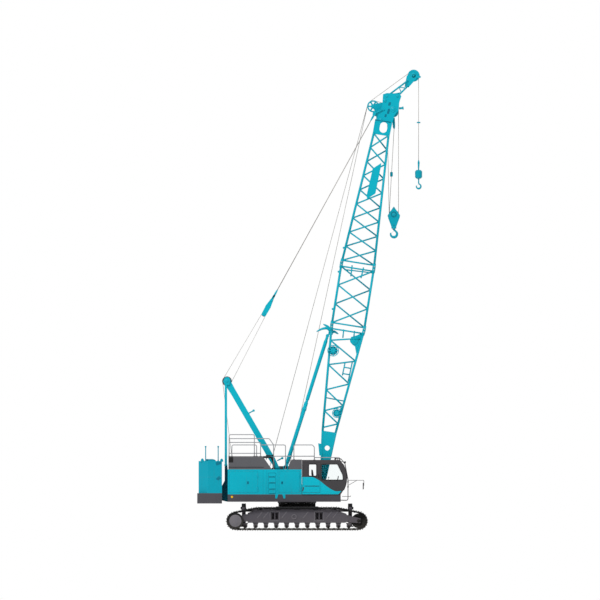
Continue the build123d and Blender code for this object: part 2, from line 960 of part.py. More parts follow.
stay_x = 2463.0
stay_y = -1560.0
stay_high = 3300.0
mirror_x = 3212.0
mirror_y = -1760.0
mirror_arm_z = 2439.0
mirror_low = 1990.0
mirror_high = 2330.0

with BuildPart() as mirror_stay:
    bar((stay_x, stay_y, deck_low + 60), (stay_x, stay_y, stay_high), 26, 8)
    bar((stay_x + 20, stay_y, deck_low + 80), (deck_front, stay_y, deck_low + 80), 26, 8)
    bar((stay_x, stay_y, stay_high), (cab_front_top + 40, stay_y, cab_high + 60), 26, 8, 10, 10)
    bar((cab_front_top + 60, stay_y, cab_high + 60), (cab_front_top - 160, stay_y, cab_high + 60), 22, 8)
    bar((cab_front_top - 140, stay_y, cab_high + 70), (cab_front_top - 140, stay_y, cab_high), 22, 8)
    bar((stay_x, stay_y, mirror_arm_z), (mirror_x + 48, mirror_y, mirror_arm_z), 20, 8)
    bar((mirror_x, mirror_y, mirror_arm_z), (mirror_x, mirror_y, mirror_low + 10), 16, 8)
    box(mirror_x - 32, mirror_x + 3, mirror_y - 120, mirror_y + 120, mirror_low, mirror_high)
save("mirror_stay", mirror_stay.part)

# Guard rails on the hoods: posts' feet are on the hoods


def rail_frame(x0, x1, y, low, high, middle):
    """Adds one standing guard rail between two places, with a top rail and a middle rail."""
    for x in (x0, x1):
        bar((x, y, low), (x, y, high), rail_radius, 6)
    for z in (high, middle):
        bar((x0, y, z), (x1, y, z), rail_radius, 6)


rail_radius = 22.0
rail_inset = 90.0
rail_high = 4642.0
rail_low = 4130.0

with BuildPart() as guard_rails:
    for side in (-1, 1):
        rail_y = side * (upper_half_width - rail_inset)
        rail_frame(deck_rear + 140, -2300, rail_y, hood_high, rail_high, 4265)
        rail_frame(-2300, -1720, rail_y, hood_high, rail_high - 200, 3900)
        rail_frame(-1100, -536, rail_y, housing_high, rail_low, 3608)
    rail_frame(cleaner_rear + 180, 160, -upper_half_width + rail_inset, cleaner_high, rail_low, 3780)
save("guard_rails", guard_rails.part)

# Gantry: two legs, two rear links, the peak's shaft with its sheaves

leg_run = hypot(gantry_peak_x - gantry_foot_x, gantry_peak_z - gantry_foot_z)
leg_dir = ((gantry_peak_x - gantry_foot_x) / leg_run, (gantry_peak_z - gantry_foot_z) / leg_run)
leg_inner = web_outer + gantry_boss + seat_gap
leg_outer = leg_inner + leg_thickness
peak_radius = 60.0


def leg_corner(along, across):
    """A corner of the gantry leg's outline, measured from its foot."""
    return (
        gantry_foot_x + leg_dir[0] * along + leg_dir[1] * across,
        gantry_foot_z + leg_dir[1] * along - leg_dir[0] * across,
    )


with BuildPart() as gantry_legs:
    for side in (-1, 1):
        plate(
            (
                leg_corner(-120, -leg_depth * 0.3),
                leg_corner(-120, leg_depth * 0.3),
                leg_corner(500, leg_depth / 2),
                leg_corner(leg_run - 500, leg_depth / 2),
                leg_corner(leg_run + 110, leg_depth * 0.6),
                leg_corner(leg_run + 110, -leg_depth * 0.6),
                leg_corner(leg_run - 700, -leg_depth / 2),
                leg_corner(500, -leg_depth / 2),
            ),
            min(side * leg_inner, side * leg_outer),
            max(side * leg_inner, side * leg_outer),
        )
        cross_rod(
            gantry_foot_x,
            gantry_foot_z,
            side * (leg_inner - 1),
            side * (leg_outer + 1),
            gantry_pin_radius + running_gap,
            Mode.SUBTRACT,
        )
    for along in (leg_run * 0.42, leg_run * 0.72):
        brace = leg_corner(along, 0)
        bar((brace[0], -leg_inner - 1, brace[1]), (brace[0], leg_inner + 1, brace[1]), 80, 8)
    peak_half = leg_outer + link_thickness
    cross_rod(gantry_peak_x, gantry_peak_z, -peak_half, peak_half, peak_radius)
save("gantry_legs", gantry_legs.part)

with BuildPart() as gantry_links:
    for side in (-1, 1):
        inner, outer = side * (leg_outer + seat_gap), side * (leg_outer + link_thickness)
        box(
            link_x - link_half_length,
            link_x + link_half_length,
            min(inner, outer),
            max(inner, outer),
            link_foot_z,
            gantry_peak_z + link_top,
        )
        cross_rod(
            gantry_peak_x,
            gantry_peak_z,
            side * (leg_outer - 1),
            side * (leg_outer + link_thickness + 1),
            peak_radius + running_gap,
            Mode.SUBTRACT,
        )
        cross_rod(link_x, link_foot_z + link_pin_rise, side * web_outer, outer, link_pin_radius)
save("gantry_links", gantry_links.part)


gantry_sheaves = 6
gantry_sheave_pitch = 90.0
gantry_rope_radius = 205.0
gantry_sheave_radius = 235.0


def shaft_sheaves(name, centre, pitch, count, rope, outer, shaft):
    """A set whose bore fits a given shaft."""
    x, y, z = centre
    half = sheave_width / 2
    hub = shaft + 40.0
    with BuildPart() as sheaves:
        with BuildSketch(Plane(origin=(x, y, z))):
            for number in range(count):
                middle = (number - (count - 1) / 2) * pitch
                with BuildLine():
                    Polyline(
                        (hub - 1, middle - half),
                        (outer, middle - half),
                        (rope, middle - half * 0.45),
                        (rope, middle + half * 0.45),
                        (outer, middle + half),
                        (hub - 1, middle + half),
                        close=True,
                    )
                make_face()
            with Locations(((shaft + running_gap + hub) / 2, 0)):
                Rectangle(hub - shaft - running_gap, pitch * (count - 1) + sheave_width)
        revolve(axis=Axis(centre, (0, 1, 0)))
    save(name, sheaves.part)


shaft_sheaves(
    "gantry_sheaves",
    (gantry_peak_x, 0, gantry_peak_z),
    gantry_sheave_pitch,
    gantry_sheaves,
    gantry_rope_radius,
    gantry_sheave_radius,
    peak_radius,
)

# Boom


def chord_depths(station):
    """The depths of the rear and the front chord's centre lines at a station."""
    rows = (
        (foot_plate_length, foot_plate_centre, foot_plate_half_depth - chord_radius),
        (joint_one, 0.0, half_depth),
        (joint_two, 0.0, half_depth),
        (joint_two + tip_lattice_length, tip_centre, tip_half_depth),
        (head_station, tip_centre, tip_half_depth),
    )
    for (low, low_centre, low_half), (high, high_centre, high_half) in zip(rows, rows[1:]):
        if station <= high:
            share = (station - low) / (high - low)
            centre = low_centre + share * (high_centre - low_centre)
            half = low_half + share * (high_half - low_half)
            return centre - half, centre + half
    return tip_centre - tip_half_depth, tip_centre + tip_half_depth


def chord_width(station):
    """Half the distance between the left and the right chords at a station."""
    if station <= joint_two:
        return half_width
    share = min(1.0, (station - joint_two) / tip_lattice_length)
    return half_width + share * (tip_half_width - half_width)


def chord_node(station, front, side):
    """A node on one of the four chords."""
    return boom_point(station, chord_depths(station)[front], side * chord_width(station))


def lacing(start, end):
    """Adds a lacing tube between two nodes, each a station, a front or rear mark and a side."""
    bar(chord_node(*start), chord_node(*end), lacing_radius, lacing_sides)


def chord(start, end, front, side, radius=chord_radius):
    """Adds one straight chord between two stations, a little past both of them."""
    low, high = chord_node(start, front, side), chord_node(end, front, side)
    bar(low, high, radius, chord_sides, joint_trim, joint_trim)


def batten_frame(station):
    """Adds the four cross tubes of one frame across the boom."""
    for mark in (-1, 1):
        lacing((station, 0, mark), (station, 1, mark))
    for front in (0, 1):
        lacing((station, front, -1), (station, front, 1))


def joint_collars(start, end):
    """Adds the thicker chord ends that the joint pins go through."""
    for front in (0, 1):
        for side in (-1, 1):
            chord(start, end, front, side, collar_radius)


with BuildPart() as boom_base:
    for side in (-1, 1):
        lug_low = side * foot_half_width - foot_lug_half
        lug_high = side * foot_half_width + foot_lug_half
        boom_plate(
            (
                (foot_centre - foot_half_depth, foot_taper + 40),
                (-centre_shift - foot_lug_radius, 0),
                (-centre_shift - foot_lug_radius * 0.7, -foot_lug_radius * 0.7),
                (-centre_shift, -foot_lug_radius),
                (-centre_shift + foot_lug_radius * 0.7, -foot_lug_radius * 0.7),
                (-centre_shift + foot_lug_radius, 0),
                (foot_centre + foot_half_depth, foot_taper + 40),
            ),
            lug_low,
            lug_high,
        )
        cross_rod(foot_x, foot_z, lug_low - 1, lug_high + 1, foot_pin_radius + running_gap, Mode.SUBTRACT)
        with BuildSketch(boom_section(foot_taper)):
            with Locations((foot_centre, side * foot_half_width)):
                Rectangle(2 * foot_half_depth, foot_plate)
        with BuildSketch(boom_section(foot_plate_length)):
            with Locations((foot_plate_centre, side * half_width)):
                Rectangle(2 * foot_plate_half_depth, foot_plate)
        loft()
        for front, edge in ((0, -1), (1, 1)):
            corner_depth = foot_centre + edge * (foot_half_depth - chord_radius)
            bar(
                boom_point(foot_taper, corner_depth, side * foot_half_width),
                chord_node(foot_plate_length + 20, front, side),
                chord_radius,
                chord_sides,
            )
            chord(foot_plate_length, joint_one, front, side)
        hole = boom_point(foot_hole_station, foot_hole_depth, 0)
        cross_rod(hole[0], hole[2], side * 400, side * 900, foot_hole_radius, Mode.SUBTRACT)
        nodes = sorted([(s, 0) for s in base_rear_nodes] + [(s, 1) for s in base_front_nodes])
        for (low, low_front), (high, high_front) in zip(nodes, nodes[1:]):
            lacing((low, low_front, side), (high, high_front, side))
    for front in (0, 1):
        mark = -1
        first, last = foot_plate_length + 60, joint_one - joint_block
        stops = [first + (last - first) * n / base_bays for n in range(base_bays + 1)]
        for low, high in zip(stops, stops[1:]):
            lacing((low, front, mark), (high, front, -mark))
            mark = -mark
        lacing((first, front, -1), (first, front, 1))
    for station, depth, _radius, front in reel_table:
        start = chord_node(station, front, -1)
        bar(start, boom_point(station, depth, -half_width), reel_arm_radius, 6, 0, reel_arm_radius)
        place = boom_point(station, depth)
        cross_rod(place[0], place[2], reel_y + reel_hub_out + seat_gap, -half_width, reel_arm_radius)
    batten_frame(joint_one - joint_block)
    joint_collars(joint_one - joint_collar, joint_one)
    split(bisect_by=boom_section(joint_one), keep=Keep.BOTTOM)
save("boom_base", boom_base.part)


def lattice_section(start, end, bays, top_collars):
    """A section: four chords, zigzags of tubes on its four faces and a frame at each end."""
    first = start + joint_block
    last = end - (joint_block if top_collars else 0)
    stops = [first + (last - first) * n / bays for n in range(bays + 1)]
    for front in (0, 1):
        for side in (-1, 1):
            chord(start, end, front, side)
    mark = 1
    for low, high in zip(stops, stops[1:]):
        for side in (-1, 1):
            front = 1 if mark * side > 0 else 0
            lacing((low, front, side), (high, 1 - front, side))
        for front in (0, 1):
            lacing((low, front, mark), (high, front, -mark))
        mark = -mark
    batten_frame(first)
    joint_collars(start, start + joint_collar)
    split(bisect_by=boom_section(start), keep=Keep.TOP)
    if top_collars:
        batten_frame(last)
        joint_collars(end - joint_collar, end)
        split(bisect_by=boom_section(end), keep=Keep.BOTTOM)


with BuildPart() as boom_insert:
    lattice_section(joint_one, joint_two, insert_bays, True)
save("boom_insert", boom_insert.part)

lattice_end = joint_two + tip_lattice_length

with BuildPart() as boom_tip:
    lattice_section(joint_two, lattice_end, tip_bays, False)
    rear, front = chord_depths(lattice_end)
    head_low = (
        (rear - chord_radius, lattice_end - 30),
        (front + chord_radius, lattice_end - 30),
        (front + chord_radius + 30, head_tubes[0][0]),
        (rear - chord_radius + 15, head_tubes[0][0]),
    )
    for side in (-1, 1):
        inner = side * head_plate_half
        outer = side * (head_plate_half + head_plate)
        boom_plate(head_low, min(inner, outer), max(inner, outer))
        boom_plate(head_outline, min(inner, outer), max(inner, outer))
        with BuildSketch(boom_upright(outer)):
            with Locations((head_hole_depth, head_hole_station)):
                SlotOverall(head_hole_length, head_hole_width, rotation=90)
        extrude(amount=side * head_plate * 3, both=True, mode=Mode.SUBTRACT)
        rod(
            boom_point(pendant_station, pendant_depth, inner),
            boom_point(pendant_station, pendant_depth, side * (pendant_inner - seat_gap)),
            75,
        )
        boom_plate(
            (
                (pendant_depth - 110, pendant_station - 90),
                (pendant_depth - 110, pendant_station + 90),
                (0, pendant_station + 260),
                (0, pendant_station - 260),
            ),
            min(inner, outer),
            max(inner, outer),
        )
        boom_plate(
            (
                (guide_depth - 90, guide_station - 70),
                (guide_depth - 90, guide_station + 70),
                (60, guide_station + 300),
                (60, guide_station - 360),
            ),
            min(side * guide_half, side * (guide_half + head_plate)),
            max(side * guide_half, side * (guide_half + head_plate)),
        )
        box_y0, box_y1 = sorted((side * guide_half, side * (head_plate_half + 1)))
        boom_plate(
            (
                (0, guide_station - 360),
                (0, guide_station + 300),
                (60, guide_station + 300),
                (60, guide_station - 360),
            ),
            box_y0,
            box_y1,
        )
    for station, depth in head_tubes:
        place = boom_point(station, depth)
        cross_rod(place[0], place[2], -head_plate_half - 1, head_plate_half + 1, 70)
    shaft = boom_point(shaft_station, head_shaft_depth)
    shaft_half = head_plate_half + head_plate + 20
    cross_rod(shaft[0], shaft[2], -shaft_half, shaft_half, shaft_radius)
    guide = boom_point(guide_station, guide_depth)
    cross_rod(guide[0], guide[2], -guide_half - head_plate - 15, guide_half + head_plate + 15, shaft_radius)
    dead = boom_point(dead_end_station, dead_end_depth)
    cross_rod(dead[0], dead[2], fall_half + 30 + seat_gap, head_plate_half + 1, 30)
save("boom_tip", boom_tip.part)

for name, place, count in (("head_sheaves", shaft, head_sheaves), ("guide_sheave", guide, 1)):
    shaft_sheaves(name, place, head_sheave_pitch, count, sheave_rope_radius, sheave_radius, shaft_radius)

# Auxiliary sheave on its jib

aux = boom_point(aux_station, aux_depth)

with BuildPart() as aux_jib:
    for side in (-1, 1):
        for low, high in zip(aux_jib_feet, aux_jib_heads):
            bar(boom_point(*low, side * aux_jib_half), boom_point(*high, side * 90), 40, 8)
        boom_plate(
            (
                (aux_depth - 353, aux_station - 601),
                (aux_depth - 330, aux_station - 60),
                (aux_depth - 60, aux_station + 200),
                (aux_depth + 230, aux_station),
                (aux_depth - 153, aux_station - 601),
            ),
            min(side * aux_cheek, side * (aux_cheek + 25)),
            max(side * aux_cheek, side * (aux_cheek + 25)),
        )
    for foot in aux_jib_feet:
        place = boom_point(*foot)
        cross_rod(place[0], place[2], -head_plate_half + seat_gap, head_plate_half - seat_gap, 50)
    cross_rod(aux[0], aux[2], -aux_cheek - 40, aux_cheek + 40, shaft_radius)
    neck = boom_point(aux_station - 401, aux_depth - 273)
    cross_rod(neck[0], neck[2], -aux_cheek - 60, aux_cheek + 60, 45)
save("aux_jib", aux_jib.part)

aux_groove = aux_rope_radius - rope_radius - seat_gap
shaft_sheaves("aux_sheave", aux, head_sheave_pitch, 1, aux_groove, sheave_radius, shaft_radius)

# Stays: rope falls from the gantry to the bridle, then two pendants to the boom head

stay_end = boom_point(pendant_station, pendant_depth)
stay_length = hypot(stay_end[0] - gantry_peak_x, stay_end[2] - gantry_peak_z)
stay_dir = ((stay_end[0] - gantry_peak_x) / stay_length, (stay_end[2] - gantry_peak_z) / stay_length)
stay_plane_x = (stay_dir[1], 0, -stay_dir[0])


def stay_point(along, across=0.0, y=0.0):
    """A point of the stays: its distance from the gantry's peak, in front of their line and to the side."""
    return (
        gantry_peak_x + stay_dir[0] * along + stay_dir[1] * across,
        y,
        gantry_peak_z + stay_dir[1] * along - stay_dir[0] * across,
    )


def stay_plate(points, low, high):
    """Adds a plate whose outline is given across and along the stays."""
    place = Plane(origin=stay_point(0, 0, low), x_dir=stay_plane_x, z_dir=(0, -1, 0))
    extrude(polygon(place, points), amount=-(high - low))


bridle_rope_radius = 90.0
reeving_high = gantry_rope_radius + reeving_radius + seat_gap
reeving_low = bridle_rope_radius + reeving_radius + seat_gap

with BuildPart() as luffing_ropes:
    for number in range(gantry_sheaves):
        y = (number - (gantry_sheaves - 1) / 2) * gantry_sheave_pitch
        for side in (-1, 1):
            top = stay_point(0, side * reeving_high, y)
            bottom = stay_point(bridle_start, side * reeving_low, y)
            bar(top, bottom, reeving_radius, 6)
save("luffing_ropes", luffing_ropes.part)

# Bridle: a cross head with its sheaves, side plates and the beam that takes the pendants

bridle_end = bridle_start + bridle_length
bridle_shaft = stay_point(bridle_start)
bridle_half = gantry_sheave_pitch * gantry_sheaves / 2 + 20.0

with BuildPart() as bridle:
    for side in (-1, 1):
        inner, outer = sorted((side * bridle_half, side * (bridle_half + 30)))
        stay_plate(
            (
                (-110, bridle_start - 90),
                (110, bridle_start - 90),
                (130, bridle_start + 420),
                (60, bridle_end - 60),
                (-60, bridle_end - 60),
                (-130, bridle_start + 420),
            ),
            inner,
            outer,
        )
        inner, outer = sorted((side * pendant_inner, side * (pendant_inner + 50)))
        stay_plate(
            (
                (-55, bridle_end - 190),
                (55, bridle_end - 190),
                (30, bridle_end + 130),
                (-30, bridle_end + 130),
            ),
            inner,
            outer,
        )
    cross_rod(bridle_shaft[0], bridle_shaft[2], -bridle_half - 60, bridle_half + 60, shaft_radius)
    beam = stay_point(bridle_end - 130)
    cross_rod(beam[0], beam[2], -pendant_inner - 1, pendant_inner + 1, 62)
    brace = stay_point(bridle_start + 400)
    cross_rod(brace[0], brace[2], -bridle_half - 1, bridle_half + 1, 50)
save("bridle", bridle.part)

shaft_sheaves(
    "bridle_sheaves",
    bridle_shaft,
    gantry_sheave_pitch,
    gantry_sheaves,
    bridle_rope_radius,
    bridle_rope_radius + 30,
    shaft_radius,
)

# Pendants: two ropes with their sockets and links

with BuildPart() as pendants:
    for side in (-1, 1):
        middle = side * (pendant_inner + 25)
        bar(
            stay_point(bridle_end + 130, 0, middle),
            stay_point(stay_length - 300, 0, middle),
            pendant_radius,
            8,
        )
        inner, outer = sorted((side * pendant_inner, side * (pendant_inner + 50)))
        stay_plate(
            (
                (-30, stay_length - 420),
                (30, stay_length - 420),
                (70, stay_length - 60),
                (50, stay_length + 60),
                (-50, stay_length + 60),
                (-70, stay_length - 60),
            ),
            inner,
            outer,
        )
save("pendants", pendants.part)

# Backstops: a tube with a telescoping rod on each side

rest = boom_point(backstop_station, backstop_depth)
backstop_length = hypot(rest[0] - backstop_foot_x, rest[2] - backstop_foot_z)
backstop_dir = ((rest[0] - backstop_foot_x) / backstop_length, (rest[2] - backstop_foot_z) / backstop_length)


def backstop_point(along, y):
    """A point on a backstop's centre line."""
    return (backstop_foot_x + backstop_dir[0] * along, y, backstop_foot_z + backstop_dir[1] * along)


with BuildPart() as backstop_tubes:
    for side in (-1, 1):
        y = side * backstop_y
        bar(backstop_point(0, y), backstop_point(backstop_tube_length, y), backstop_tube_radius, 12)
        bore_start, bore_end = backstop_point(120, y), backstop_point(backstop_tube_length + 1, y)
        rod(bore_start, bore_end, backstop_rod_radius + seat_gap, Mode.SUBTRACT)
        cross_rod(
            backstop_foot_x,
            backstop_foot_z,
            side * (web_outer + seat_gap),
            side * (backstop_y + 95),
            110,
        )
        cross_rod(
            backstop_foot_x,
            backstop_foot_z,
            side * (web_outer - 1),
            side * (web_outer + gantry_boss + seat_gap),
            gantry_pin_radius + running_gap,
            Mode.SUBTRACT,
        )
    cross_tube = backstop_point(backstop_tube_length * 0.5, 0)
    bar(
        (cross_tube[0], -backstop_y + 80, cross_tube[2]),
        (cross_tube[0], backstop_y - 80, cross_tube[2]),
        50,
        8,
    )
save("backstop_tubes", backstop_tubes.part)

with BuildPart() as backstop_rods:
    for side in (-1, 1):
        y = side * backstop_y
        rod_start, rod_end = backstop_point(backstop_rod_start, y), backstop_point(backstop_length - 60, y)
        bar(rod_start, rod_end, backstop_rod_radius, 12)
        cross_rod(rest[0], rest[2], y - 55, y + 55, 85)
save("backstop_rods", backstop_rods.part)

# Main hook: falls, block with its sheaves, and a swivelling hook

fall_x = shaft[0] + sheave_rope_radius + rope_radius + seat_gap
block_x = fall_x - block_rope_radius - rope_radius - seat_gap
block_left = block_x - block_rope_radius - rope_radius - seat_gap

with BuildPart() as main_falls:
    for y in (-fall_half, fall_half):
        bar((fall_x, y, shaft[2]), (fall_x, y, block_z), rope_radius, 8)
    socket_end = (dead[0] + 30, fall_half, dead[2] - 480)
    bar(socket_end, (block_left - 1, fall_half, block_z), rope_radius, 8, 60)
    plate(
        (
            (dead[0] - 50, dead[2] + 30),
            (dead[0] + 50, dead[2] + 30),
            (dead[0] + 75, dead[2] - 250),
            (dead[0] + 50, dead[2] - 500),
            (dead[0] + 10, dead[2] - 500),
            (dead[0] - 30, dead[2] - 250),
        ),
        fall_half - 30,
        fall_half + 30,
    )
    share = (socket_end[2] - weight_z) / (socket_end[2] - block_z)
    weight_x = socket_end[0] + (block_left - socket_end[0]) * share
    bar((weight_x, fall_half, weight_z - 150), (weight_x, fall_half, weight_z + 150), 55, 8)
save("main_falls", main_falls.part)

block_half = fall_half + sheave_width / 2 + move_gap + block_cheek

with BuildPart() as main_block:
    for low, high in ((-block_half, -block_half + block_cheek), (block_half - block_cheek, block_half)):
        plate(
            (
                (block_x, block_top),
                (block_x + 305, block_z - 40),
                (block_x + 275, block_z - 170),
                (block_x + 110, block_bottom + 60),
                (block_x + 60, block_bottom),
                (block_x - 60, block_bottom),
                (block_x - 110, block_bottom + 60),
                (block_x - 275, block_z - 170),
                (block_x - 305, block_z - 40),
            ),
            low,
            high,
        )
    cross_rod(block_x, block_z, -block_half - 25, block_half + 25, shaft_radius)
    cross_rod(block_x, block_top - 90, -block_half, block_half, 45)
    box(
        block_x - 120,
        block_x + 120,
        -block_half + 40,
        block_half - 40,
        block_bottom,
        block_z - block_sheave_radius - 30,
    )
save("main_block", main_block.part)

shaft_sheaves(
    "main_block_sheaves",
    (block_x, 0, block_z),
    2 * fall_half,
    2,
    block_rope_radius,
    block_sheave_radius,
    shaft_radius,
)


def hook(name, x, neck_z, bowl_z, bowl, section):
    """A single hook: a shank under its swivel, a slanted throat and a round bowl that opens to the rear."""
    rise = radians(hook_lead)
    join = (x + bowl * cos(rise), bowl_z + bowl * sin(rise))
    turn_z = join[1] + bowl * cos(rise) * cos(rise) / sin(rise)
    with BuildPart() as crane_hook:
        rod((x, 0, neck_z), (x, 0, turn_z), section * 0.85)
        with Locations((x, 0, turn_z)):
            Sphere(section * 0.85)
        rod((x, 0, turn_z), (join[0], 0, join[1]), section * 0.85)
        start = Plane(origin=(join[0], 0, join[1]), x_dir=(0, 1, 0), z_dir=(-sin(rise), 0, cos(rise)))
        with BuildSketch(start):
            Circle(section)
        revolve(axis=Axis((x, 0, bowl_z), (0, 1, 0)), revolution_arc=hook_sweep)
        tip = radians(hook_lead - hook_sweep)
        with Locations((x + bowl * cos(tip), 0, bowl_z + bowl * sin(tip))):
            Sphere(section)
    save(name, crane_hook.part)


hook("main_hook", block_x, block_bottom - seat_gap, hook_bowl_z, hook_bowl, hook_section)

# Auxiliary hook: one fall, a weight ball and a small hook

aux_fall_x = aux[0] + aux_rope_radius

with BuildPart() as aux_falls:
    bar((aux_fall_x, 0, aux[2]), (aux_fall_x, 0, aux_socket_top), rope_radius, 8)
    rod((aux_fall_x, 0, aux_limit_z - 30), (aux_fall_x, 0, aux_limit_z + 30), 88)
save("aux_falls", aux_falls.part)

with BuildPart() as aux_ball:
    with BuildSketch(Plane.XZ.offset(0)):
        with BuildLine():
            Polyline(
                (aux_fall_x, aux_ball_low),
                (aux_fall_x + 110, aux_ball_low),
                (aux_fall_x + 173, aux_ball_low + 70),
                (aux_fall_x + 173, aux_ball_top - 70),
                (aux_fall_x + 110, aux_ball_top),
                (aux_fall_x + 30, aux_ball_top),
                (aux_fall_x + 30, aux_ball_top + 90),
                (aux_fall_x, aux_ball_top + 90),
                close=True,
            )
        make_face()
    revolve(axis=Axis((aux_fall_x, 0, 0), (0, 0, 1)))
    plate(
        (
            (aux_fall_x - 35, aux_ball_top + 80),
            (aux_fall_x + 35, aux_ball_top + 80),
            (aux_fall_x + 55, aux_socket_top - 120),
            (aux_fall_x + 20, aux_socket_top),
            (aux_fall_x - 20, aux_socket_top),
            (aux_fall_x - 45, aux_socket_top - 120),
        ),
        -32,
        32,
    )
save("aux_ball", aux_ball.part)

hook("aux_hook", aux_fall_x, aux_ball_low - seat_gap, aux_hook_bowl_z, aux_bowl, aux_section)

# Cable reels on the boom's side

with BuildPart() as cable_reels:
    for station, depth, radius, _front in reel_table:
        place = boom_point(station, depth)
        cross_rod(place[0], place[2], reel_y - reel_width, reel_y - reel_width + 20, radius)
        cross_rod(place[0], place[2], reel_y - 20, reel_y, radius)
        cross_rod(place[0], place[2], reel_y - reel_width, reel_y + reel_hub_out, radius * 0.45)
save("cable_reels", cable_reels.part)
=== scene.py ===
from functools import partial
from math import atan2, cos, hypot, pi, radians, sin

import bpy
import numpy as np
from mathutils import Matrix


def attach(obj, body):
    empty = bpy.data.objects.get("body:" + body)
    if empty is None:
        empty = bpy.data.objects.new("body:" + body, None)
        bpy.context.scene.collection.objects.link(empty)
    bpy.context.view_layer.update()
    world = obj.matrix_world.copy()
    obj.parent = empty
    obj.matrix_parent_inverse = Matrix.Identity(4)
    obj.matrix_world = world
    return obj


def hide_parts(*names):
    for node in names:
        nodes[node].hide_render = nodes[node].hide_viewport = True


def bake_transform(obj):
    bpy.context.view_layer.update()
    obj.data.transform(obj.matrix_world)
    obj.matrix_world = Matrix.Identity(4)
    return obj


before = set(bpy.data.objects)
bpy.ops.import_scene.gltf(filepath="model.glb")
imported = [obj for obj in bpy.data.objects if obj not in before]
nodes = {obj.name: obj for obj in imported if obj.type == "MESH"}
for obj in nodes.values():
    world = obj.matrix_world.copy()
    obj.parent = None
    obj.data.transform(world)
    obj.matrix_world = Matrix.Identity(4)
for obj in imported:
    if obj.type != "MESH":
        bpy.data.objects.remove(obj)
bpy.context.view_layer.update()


# Node helpers: a value is another node's output, or a plain number or colour

def feed(tree, value, socket):
    if isinstance(value, bpy.types.NodeSocket):
        tree.links.new(value, socket)
    else:
        socket.default_value = value


def addNode(tree, kind, inputs=(), output=0, **settings):
    # one node with its settings and inputs; gives back one of its outputs
    node = tree.nodes.new("ShaderNode" + kind)
    for label, value in settings.items():
        setattr(node, label, value)
    for label, value in dict(inputs).items():
        feed(tree, value, node.inputs[label])
    return node.outputs[output]


def addMath(tree, operation, *values, clamp=False):
    return addNode(tree, "Math", enumerate(values), operation=operation, use_clamp=clamp)


def addRamp(tree, value, low, high, outLow=0.0, outHigh=1.0):
    # a value between low and high is spread smoothly over outLow to outHigh
    limits = {"Value": value, "From Min": low, "From Max": high, "To Min": outLow, "To Max": outHigh}
    return addNode(tree, "MapRange", limits, "Result", interpolation_type="SMOOTHSTEP")


def addNoise(tree, place, scale, detail=3.0, roughness=0.55):
    inputs = {"Vector": place, "Scale": scale, "Detail": detail, "Roughness": roughness}
    return addNode(tree, "TexNoise", inputs, "Fac")


def addMix(tree, share, first, second, blend="MIX"):
    return addNode(tree, "Mix", {0: share, 6: first, 7: second}, 2, data_type="RGBA", blend_type=blend)


def nodeTools(tree):
    # the same helpers for one tree
    return [partial(tool, tree) for tool in (addNode, addMath, addRamp, addNoise, addMix)]


def linearColour(red, green, blue):
    # a colour read off as 0 to 255, turned into linear light
    share = np.array([red, green, blue]) / 255
    linear = np.where(share > 0.04045, ((share + 0.055) / 1.055) ** 2.4, share / 12.92)
    return (*linear.tolist(), 1.0)


# Stage: a plain pale floor, two soft suns and a flat side view

stageSettings = {
    "middle": (0.145, 11.148),          # what the picture is centred on, forward and up
    "pictureWidth": 28.98,
    "cameraDistance": 60.0,
    "farClip": 400.0,
    "keySun": (1.75, 52, -28, 14),      # strength, then tilt, turn and width in degrees
    "fillSun": (0.55, 58, 155, 30),
    "skyStrength": 0.66,
    "floorTone": 0.82,
    "floorReach": 160.0,
}


def addObject(name, data):
    thing = bpy.data.objects.new(name, data)
    bpy.context.scene.collection.objects.link(thing)
    return thing


def addSun(name, strength, tilt, turn, width):
    sun = bpy.data.lights.new(name, "SUN")
    sun.energy, sun.angle = strength, radians(width)
    addObject(name, sun).rotation_euler = (radians(tilt), 0, radians(turn))


def makeStage(settings):
    scene = bpy.context.scene
    scene.view_settings.view_transform = "Standard"
    lens = bpy.data.cameras.new("sideCamera")
    lens.type, lens.ortho_scale, lens.clip_end = "ORTHO", settings["pictureWidth"], settings["farClip"]
    forward, up = settings["middle"]
    scene.camera = addObject("sideCamera", lens)
    scene.camera.location = (forward, -settings["cameraDistance"], up)
    scene.camera.rotation_euler = (pi / 2, 0, 0)
    addSun("keySun", *settings["keySun"])
    addSun("fillSun", *settings["fillSun"])
    scene.world = bpy.data.worlds.new("studio")
    scene.world.use_nodes = True
    tree = scene.world.node_tree
    soft = tree.nodes["Background"]
    soft.inputs["Strength"].default_value = settings["skyStrength"]
    soft.inputs["Color"].default_value = (1, 1, 1, 1)
    white = addNode(tree, "Background", {"Color": (1, 1, 1, 1)})
    rays = tree.nodes.new("ShaderNodeLightPath").outputs
    seen = addMath(tree, "MAXIMUM", rays["Is Camera Ray"], rays["Is Transmission Ray"])
    seen = addMath(tree, "MAXIMUM", seen, rays["Is Glossy Ray"])
    sky = addNode(tree, "MixShader", {0: seen, 1: soft.outputs[0], 2: white})
    feed(tree, sky, tree.nodes["World Output"].inputs["Surface"])
    mesh, reach = bpy.data.meshes.new("floor"), settings["floorReach"]
    corners = [(x * reach, y * reach, -0.002) for x, y in ((-1, -1), (1, -1), (1, 1), (-1, 1))]
    mesh.from_pydata(corners, [], [(0, 1, 2, 3)])
    floor = addObject("floor", mesh)
    paint = bpy.data.materials.new("floorPaint")
    paint.use_nodes = True
    shader = paint.node_tree.nodes["Principled BSDF"]
    shader.inputs["Base Color"].default_value = (settings["floorTone"],) * 3 + (1,)
    shader.inputs["Roughness"].default_value = 0.9
    mesh.materials.append(paint)


makeStage(stageSettings)
print("stage: camera, suns, sky and floor")


# Finishes: shared effects are groups, and each material has its own shader

